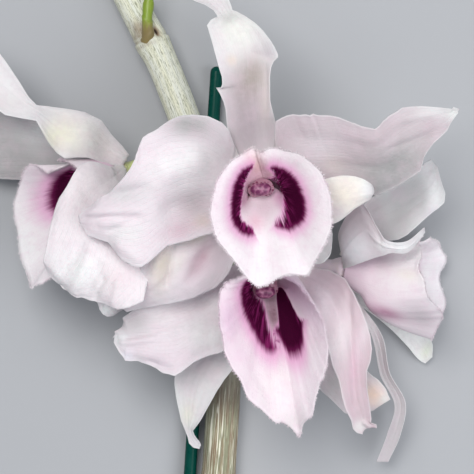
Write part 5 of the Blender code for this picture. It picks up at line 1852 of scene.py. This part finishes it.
def left_bloom() -> Bloom:
    """The bloom at the left, which looks away to the left and a little up at the viewer.

    Returns:
        The bloom.
    """
    dorsal_sepal = Tepal("dorsal_sepal", Kind.SEPAL, -6, ribs=(
        (-28.6, 17.8, 21.8, -27.2, 20.6, 21.4), (-33, 18.8, 24.6, -31, 25, 23.4),
        (-38.2, 20.6, 28.8, -36, 30.2, 26.4), (-44.2, 20.2, 31.5, -41.6, 31.8, 28),
        (-48.6, 27, 29, -47.4, 32.8, 28), (-51.6, 30.8, 29, -50.2, 33.8, 28),
        (-58, 30.4, 29, -54.6, 41.2, 28), (-65, 35.6, 27, -61, 48, 27), (-70.6, 47, 25, -69.4, 50.6, 25),
    ), left_edge=(
        (-28.6, 17.6), (-31.6, 17.9), (-35, 19), (-37.5, 19.8), (-40, 19.9), (-43, 19.6), (-45, 21),
        (-47, 23.5), (-48.6, 26.4), (-50.2, 29), (-54, 29.6), (-58, 30.4), (-65, 35.6), (-70.6, 47),
    ), right_edge=(
        (-27, 20.6), (-28.4, 22.5), (-31.2, 25.5), (-33.8, 29.2), (-38, 31.2), (-42, 31.9), (-46, 32.4),
        (-50, 33), (-52, 35), (-54.5, 39), (-57.5, 43.5), (-60.6, 47.6), (-69.4, 50.6),
    ), spots=(
        Spot(-43, 26, 4.2, (0.86, 0.83, 0.66), 0.8, 1.5, -20), Spot(-46, 24, 2.6, (0.84, 0.82, 0.62), 0.6),
        # the pink spot at (-32.2, 20.6) is the base's own pink and painted light where it turns down into
        # shade; the near-white spot at (-35.8, 23.4) is painted light where the sepal tilts away from the
        # light
        Spot(-32.2, 20.6, 3, (0.88, 0.76, 0.78), 0.85, 1.6, -40),
        Spot(-35.8, 23.4, 3.2, (0.98, 0.94, 0.9), 0.95, 1.5, -40),
        Spot(-49, 30, 2.4, (0.66, 0.66, 0.68), 0.6, 1.6, 10),
        Spot(-58, 33, 3.2, (0.7, 0.7, 0.68), 0.6, 2, 20),
    ), cup=(0.2, 0.2, 0.8, -1.4, -0.8, 0.2, 0.8, 0.6, 0), wave=(0.2, 2, 0.3), rows=140, frill=0.12,
        blush=0.35, claw=1.6, ground=(0.84, 0.83, 0.83))
    petal_near = Tepal("petal_near", Kind.PETAL, 84, ribs=(
        (-33.4, 17.6, 29.5, -28.6, 9.6, 29), (-40.4, 17.4, 35.5, -27.8, 0, 37.5),
        (-44.8, 10.6, 39.5, -27.6, -8, 41), (-46.8, 2.6, 40.5, -28, -14.2, 40.5),
        (-48.2, -5, 39.5, -33.4, -16.6, 38), (-47.6, -9.8, 37, -40.2, -15, 35.5),
    ), left_edge=(
        (-31, 17.6), (-34, 18.7), (-37, 18.9), (-39.5, 17.7), (-41, 15.6), (-42.6, 12.6), (-44.4, 10),
        (-45.9, 6.5), (-46.7, 3), (-47.5, -2), (-48.3, -6), (-47.2, -9.4),
    ), right_edge=(
        (-26.6, 9.6), (-23.6, 0), (-22.4, -5.6), (-22.3, -11), (-23.4, -16.2), (-26.6, -17.6), (-30, -18),
        (-33.6, -16.6), (-35.2, -16.3), (-37, -15.8), (-38.8, -15.1), (-40, -15.2), (-41.2, -14.4),
        (-42.3, -13.3), (-43.5, -12.8), (-44.5, -11.2), (-45.6, -10),
    ), folds=(
        Fold(-35.6, -15.6, -33, -10, 0.8, 0.6), Fold(-31, -17, -29.4, -11, 1, -0.6),
        Fold(-44, -9, -38, -2, 1.6, 0.7), Fold(-41, -13.4, -37, -6, 1.2, -0.6),
        Fold(-37.4, -14.6, -34, -7, 1.3, 0.6), Fold(-40, 15, -33, 4, 2.6, 0.6),
    ), spots=(
        # painted light: the pale spots at (-38, 12.6) and (-30.5, 13.6) lighten the tilted top and the shade
        # near the root
        Spot(-38, 12.6, 4, (0.97, 0.88, 0.9), 0.8, 1.4, 60),
        Spot(-30.5, 13.6, 4.2, (0.98, 0.91, 0.93), 0.9, 1.3, -40),
        Spot(-39.5, -9, 5.4, (0.95, 0.945, 0.94), 0.95, 1.3, -25),
        Spot(-30, -10.6, 3.4, (0.78, 0.67, 0.7), 0.7),
    ), cup=(0.3, 0.4, 1.2, 1.4, 0.8, 0), wave=(0.5, 2.4, 0.4), frill=0.3, rows=130, columns=72,
        ground=(0.88, 0.82, 0.84))
    petal_far = Tepal("petal_far", Kind.PETAL, -78, ribs=(
        (-34, 16, 12, -34, 22, 13), (-43, 15, 9.5, -42.6, 28, 10.5), (-53, 14.2, 8.5, -52, 31, 10),
        (-62.6, 15.6, 8, -61.6, 32, 9.5), (-71.6, 21.6, 8, -71, 28.6, 9),
    ), spots=(
        # painted shade: the petal's dark grey ground and flush stand for the shade it lies in behind the
        # bloom; painted light: the pale spot at (-50, 25.5) lightens the dorsal sepal's shadow
        Spot(-50, 25.5, 4.2, (0.88, 0.88, 0.87), 0.95, 1.6, -25),
    ), cup=(0.3, 1, 0.8, -0.6, 0), wave=(0.5, 2.4, 0.1), ground=(0.44, 0.435, 0.435),
        flush=(0.4, 0.38, 0.39))
    lateral_sepal_near = Tepal("lateral_sepal_near", Kind.SEPAL, 142, ribs=(
        (-27.2, 7.4, 20.8, -31.6, 7, 20.4), (-26, -3, 24.5, -35.6, -2, 25.5),
        (-26.6, -12, 26.5, -37.2, -11, 28), (-29.4, -18.6, 26.5, -34.6, -17.6, 27.5),
        (-31, -20, 26, -32.6, -19.8, 26.5),
    ), left_edge=(
        (-27.2, 7.4), (-25.6, -3), (-24.4, -9), (-24.2, -14), (-24.4, -16.9), (-26.5, -17.5), (-28.5, -18.3),
        (-30.6, -19.5),
    ), right_edge=(
        (-31.6, 7), (-35.6, -2), (-37, -11), (-35.2, -15.6), (-34.4, -18), (-33.5, -19.3), (-32.5, -19.9),
    ), folds=(
        Fold(-30, -18, -28, -8, 1.2, -0.5), Fold(-32.6, -18, -31.6, -10, 1, 0.4),
    ), spots=(
        # painted light: the white spot at (-32.6, -18) brightens the shaded tip
        Spot(-29, -9, 3.6, (0.78, 0.66, 0.71), 0.6, 1.5, 70), Spot(-32.6, -18, 2.4, (0.98, 0.98, 0.98), 0.95),
    ), cup=(0.3, 0.8, 0.6, 0.2, 0), wave=(0.2, 2, 0.7), frill=0.3, ground=(0.82, 0.775, 0.8))
    lateral_sepal_far = Tepal("lateral_sepal_far", Kind.SEPAL, -146, ribs=(
        (-31.6, 6.6, 9, -37.4, 10.4, 9), (-36, -1, 5, -45, 4.6, 5), (-42.6, -7, 3, -50, -2.6, 3),
        (-48.6, -9.6, 2, -50.2, -8.6, 2),
    ), cup=(0.3, 0.5, 0.3, 0), wave=(0.1, 2, 0.5))
    lip = Lip(rim=(
        (-46.8, 17, 27), (-50.6, 17.9, 24), (-53.8, 15.2, 21), (-55.6, 10.5, 19.5), (-56.2, 4.5, 19.5),
        (-55.2, -2, 21.5), (-53.8, -8, 25), (-52.2, -12.6, 28.5), (-48.2, -10.6, 31.5), (-45.2, -5, 33),
        (-42.8, 1, 34), (-41, 7.5, 34.3), (-40.6, 13, 33.5), (-42.2, 17.4, 31.5), (-45.4, 18.6, 28.5),
    ), outline=(
        (-42, 18.2), (-43.5, 19.2), (-45, 19.2), (-46.5, 17), (-48, 15.6), (-49.5, 16.8), (-51, 17.9),
        (-52.3, 17.7), (-53.6, 16.2), (-54.8, 13.5), (-55.6, 10), (-56.2, 5), (-55.8, 1), (-54.8, -3),
        (-53.8, -7), (-53, -10.5), (-52, -12.8), (-50.5, -12), (-48.5, -11.2), (-46.6, -9.6), (-44.8, -5),
        (-42.8, 1), (-41, 7.5), (-40.4, 13), (-40.8, 16.2),
    ), spots=(
        Spot(-51.5, 13.5, 3.6, (0.66, 0.6, 0.65), 0.7), Spot(-52.4, -2, 6, (0.96, 0.945, 0.95), 0.9, 1.8, 95),
        Spot(-44.4, 17.8, 1.8, (0.84, 0.78, 0.8), 0.9, 1.6),
    ), blotches=(
        Blotch((
            (-0.79, 0.66, 0.7), (-0.71, 0.55, 0.77), (-0.6, 0.5, 0.81), (-0.48, 0.55, 0.825),
            (-0.38, 0.7, 0.825), (-0.32, 0.79, 0.81),
        ), feather=2, rim_feather=1.6),
        Blotch((
            (0.14, 0.75, 0.76), (0.28, 0.6, 0.79), (0.5, 0.5, 0.81), (0.82, 0.56, 0.8), (0.95, 0.7, 0.8),
        )),
    ), wave=(0.4, 7), parting=0.5)
    return Bloom(
        "left", hub=(-29.2, 16.2, 19), faces=(-0.77, -0.32, 0.55), upright=(-0.35, 0.93, 0.1),
        tepals=(dorsal_sepal, petal_near, petal_far, lateral_sepal_near, lateral_sepal_far),
        lip=lip, column=Column((1, -1.6)), pink_from=0.95,
    )


def right_bloom() -> Bloom:
    """The bloom at the right, seen from the side as it looks away to the right.

    Returns:
        The bloom.
    """
    dorsal_sepal = Tepal("dorsal_sepal", Kind.SEPAL, 4, ribs=(
        (27.4, 1.2, 20, 31.6, -0.6, 16), (31.8, 8.4, 23.5, 38.6, -0.4, 20), (38, 12.4, 26, 44.6, 2.2, 23.5),
        (43.6, 15.6, 27.5, 50, 6.6, 24), (47, 18.4, 27.5, 52, 11, 25), (48.6, 19.4, 27, 50.6, 16.8, 26),
    ), right_edge=(
        (31.6, -0.6), (35, -0.8), (38, -0.9), (40.4, -0.6), (42.6, 0.6), (44.2, 2), (46.2, 3.8), (48.6, 5.8),
        (50.5, 7.2), (51.8, 8.6), (52, 10.8), (51.3, 13), (50.6, 15.6), (50, 17.6),
    ), folds=(
        Fold(38, 11, 49, 17, 0.9, -0.4), Fold(47.4, 5.6, 49.4, 16, 1.8, 0.5),
    ), spots=(
        Spot(48.6, 12, 2.2, (0.92, 0.92, 0.92), 0.95, 2.8, 100),
        Spot(43, 8.8, 3, (0.46, 0.46, 0.46), 0.75, 2.2, 50), Spot(36.5, 6, 3, (0.76, 0.76, 0.75), 0.6),
        Spot(33.6, 8, 2, (0.64, 0.56, 0.58), 0.6, 1.8, -50), Spot(49, 5.6, 1.6, (0.66, 0.64, 0.72), 0.5),
    ), cup=(0.3, 1, 1.6, 1.8, 1, 0.2), wave=(0.2, 2, 0.5), rows=120, frill=0.12, blush=0.25,
        ground=(0.66, 0.66, 0.66), flush=(0.6, 0.59, 0.6))
    petal_near = Tepal("petal_near", Kind.PETAL, -66, ribs=(
        (30, -6.8, 26, 25.4, 1, 25), (34, -5.4, 29.5, 30.6, 8.6, 31), (36.6, -4.6, 31.5, 34.6, 2.4, 34),
        (38.6, -4, 32.5, 37.4, -0.8, 34.5), (42.8, -3.8, 32, 42.4, -1, 33.5), (47, 1.2, 30.5, 46.8, 2.4, 31),
    ), folds=(
        Fold(31.6, 7.4, 36, -1, 0.6, 0.5),
    ), spots=(
        Spot(41, -2.6, 2.6, (0.96, 0.955, 0.955), 1, 2.2), Spot(46, -0.4, 2.4, (0.96, 0.955, 0.955), 1),
        Spot(32.6, 4.6, 0.8, (0.78, 0.73, 0.75), 0.7, 4, -62), Spot(36.6, -2, 1.2, (0.9, 0.9, 0.9), 0.8),
        Spot(28.6, -3.4, 4.6, (0.9, 0.9, 0.92), 0.95, 1.3, 30),
    ), cup=(0.3, 0.8, 0.5, 0.1, 0.1, 0), wave=(0.1, 2, 0.2), frill=0.08, pleats=0.08, keel=0.1,
        ground=(0.66, 0.58, 0.61), blush=0.3)
    petal_far = Tepal("petal_far", Kind.PETAL, 62, ribs=(
        (25.8, -1.6, 11, 33, -6, 9.5), (26.4, 3, 9, 37, -2, 6), (31, 8, 6, 41, 3, 2.4),
        (37.6, 11.6, 1, 44, 7, 0.35), (42, 13, 0.35, 45, 11, 0.35),
    ), cup=(0.3, 0.5, 0.4, 0.1, 0), wave=(0.1, 2, 0.15), ground=(0.66, 0.655, 0.66))
    lateral_sepal_near = Tepal("lateral_sepal_near", Kind.SEPAL, -140, ribs=(
        (31.4, -17.6, 16, 29.6, -16.2, 18), (36.4, -25, 17, 33.8, -25.4, 16),
        (38.2, -34, 16.5, 35.8, -34.4, 14.5), (42.1, -41.6, 15, 39.3, -41.8, 13),
        (40.8, -49.6, 11, 37.5, -49.2, 10), (37.8, -56.2, 7.5, 34.8, -56.2, 7),
    ), cup=(0.2, 0.4, 0.4, 0.5, 0.4, 0.3, 0), wave=(0.1, 2, 0.15), frill=0.1, pleats=0.06, rows=130,
        columns=30, ground=(0.74, 0.7, 0.71), blush=0.3)
    lateral_sepal_far = Tepal("lateral_sepal_far", Kind.SEPAL, 146, ribs=(
        (32, -12.6, 8, 29.6, -16, 8), (38.6, -16.4, 5.5, 36, -21, 5.5), (44.6, -20.4, 4, 41, -25.6, 4),
        (48.6, -26, 3, 45.2, -30.4, 3), (48.8, -30, 2.5, 47, -31.6, 2.5),
    ), spots=(
        Spot(47.3, -28.6, 1.5, (0.78, 0.84, 0.66), 0.6, 1.6, 70),
    ), cup=(0.3, 0.5, 0.5, 0.4, 0), wave=(0.1, 2, 0.65), frill=0.15, pleats=0.1, ground=(0.95, 0.95, 0.93),
        blush=0.05)
    lip = Lip(rim=(
        (46.9, 0.4, 21), (46.3, -2.6, 26), (46.4, -6, 29.5), (46.8, -9.6, 31), (47.8, -13.2, 31.5),
        (49.8, -16.8, 29.5), (52, -20.6, 25), (49.2, -25.6, 18.5), (51, -21.4, 11.5), (52.6, -17.6, 7.5),
        (51.8, -13.2, 5.5), (51.4, -9, 5.5), (52.6, -5, 7.5), (51, -1.8, 11.5), (48.8, -0.4, 17),
    ), spots=(
        Spot(33.5, -5.6, 3, (0.7, 0.52, 0.62), 0.7, 2, 12),
        Spot(42.5, -9.8, 1.7, (0.86, 0.84, 0.66), 0.75, 1.6),
        Spot(37, -18.6, 1.5, (0.5, 0.24, 0.36), 0.9, 3.6, -17), Spot(36, -13, 3.4, (0.86, 0.7, 0.77), 0.7, 2),
        # painted light: the white spots at (47.3, -8.6), (50.6, -6) and (50, -12) brighten the near rim and
        # the shaded inner face behind it
        Spot(44, -4.6, 3, (0.95, 0.9, 0.92), 0.8, 1.6), Spot(47.3, -8.6, 1.5, (0.97, 0.95, 0.96), 0.9, 4, 98),
        Spot(36, -8, 2.6, (0.7, 0.56, 0.6), 0.5, 1.6), Spot(50.6, -6, 2.4, (0.93, 0.9, 0.92), 0.9, 2, 100),
        Spot(50, -12, 2.2, (0.95, 0.92, 0.94), 0.95, 2.6, 95),
        Spot(40, -11.6, 3.4, (0.92, 0.86, 0.88), 0.8, 2, -4),
        # painted shade: the grey spot at (46.4, -20.4) on the rim's lower part
        Spot(46.4, -20.4, 2.8, (0.52, 0.47, 0.5), 0.75, 1.8, -22),
    ), blotches=(
        Blotch(((-0.9, 0.76, 0.78), (-0.72, 0.6, 0.8), (-0.4, 0.6, 0.8), (-0.14, 0.76, 0.78))),
        Blotch(((0.14, 0.76, 0.78), (0.4, 0.58, 0.8), (0.72, 0.58, 0.8), (0.9, 0.74, 0.79))),
    ), wave=(0.4, 7), blush=0.22, belly=5.2, tube=((3.1, 0.7), (5, 5.8), (6.6, 11)))
    return Bloom(
        "right", hub=(26.6, -7.8, 17), faces=(0.96, -0.2, 0.12), upright=(0.2, 0.98, 0.05),
        tepals=(dorsal_sepal, petal_near, petal_far, lateral_sepal_near, lateral_sepal_far),
        lip=lip, pink_from=0.42,
    )


def main() -> None:
    """Builds the classes in order; each piece logs its counts of points and faces."""
    logging.basicConfig(level=logging.INFO, format="%(name)s: %(message)s")
    cane, stake = Cane(), Stake()
    front, lower, left, right = front_bloom(), lower_bloom(), left_bloom(), right_bloom()
    for piece in (cane, stake, Tie(cane, stake), front, lower, left, right):
        piece.make()
    upper_pair = (front, ((4.2, 14.2, 25.5),)), (left, ((-21, 20, 17.2),))
    lower_pair = (lower, ((5.2, -5.6, 14.5),)), (right, ((8, -17, 12.5), (18, -7.5, 15)))
    for grown in (
        FlowerStalk("flower_stalk_upper", node=1, out=0.3, rise=1, carries=upper_pair),
        FlowerStalk("flower_stalk_lower", node=2, out=0.5, rise=0.9, carries=lower_pair),
        YoungShoot(),
    ):
        grown.make(cane)
    Studio().make()


if __name__ == "__main__":
    main()
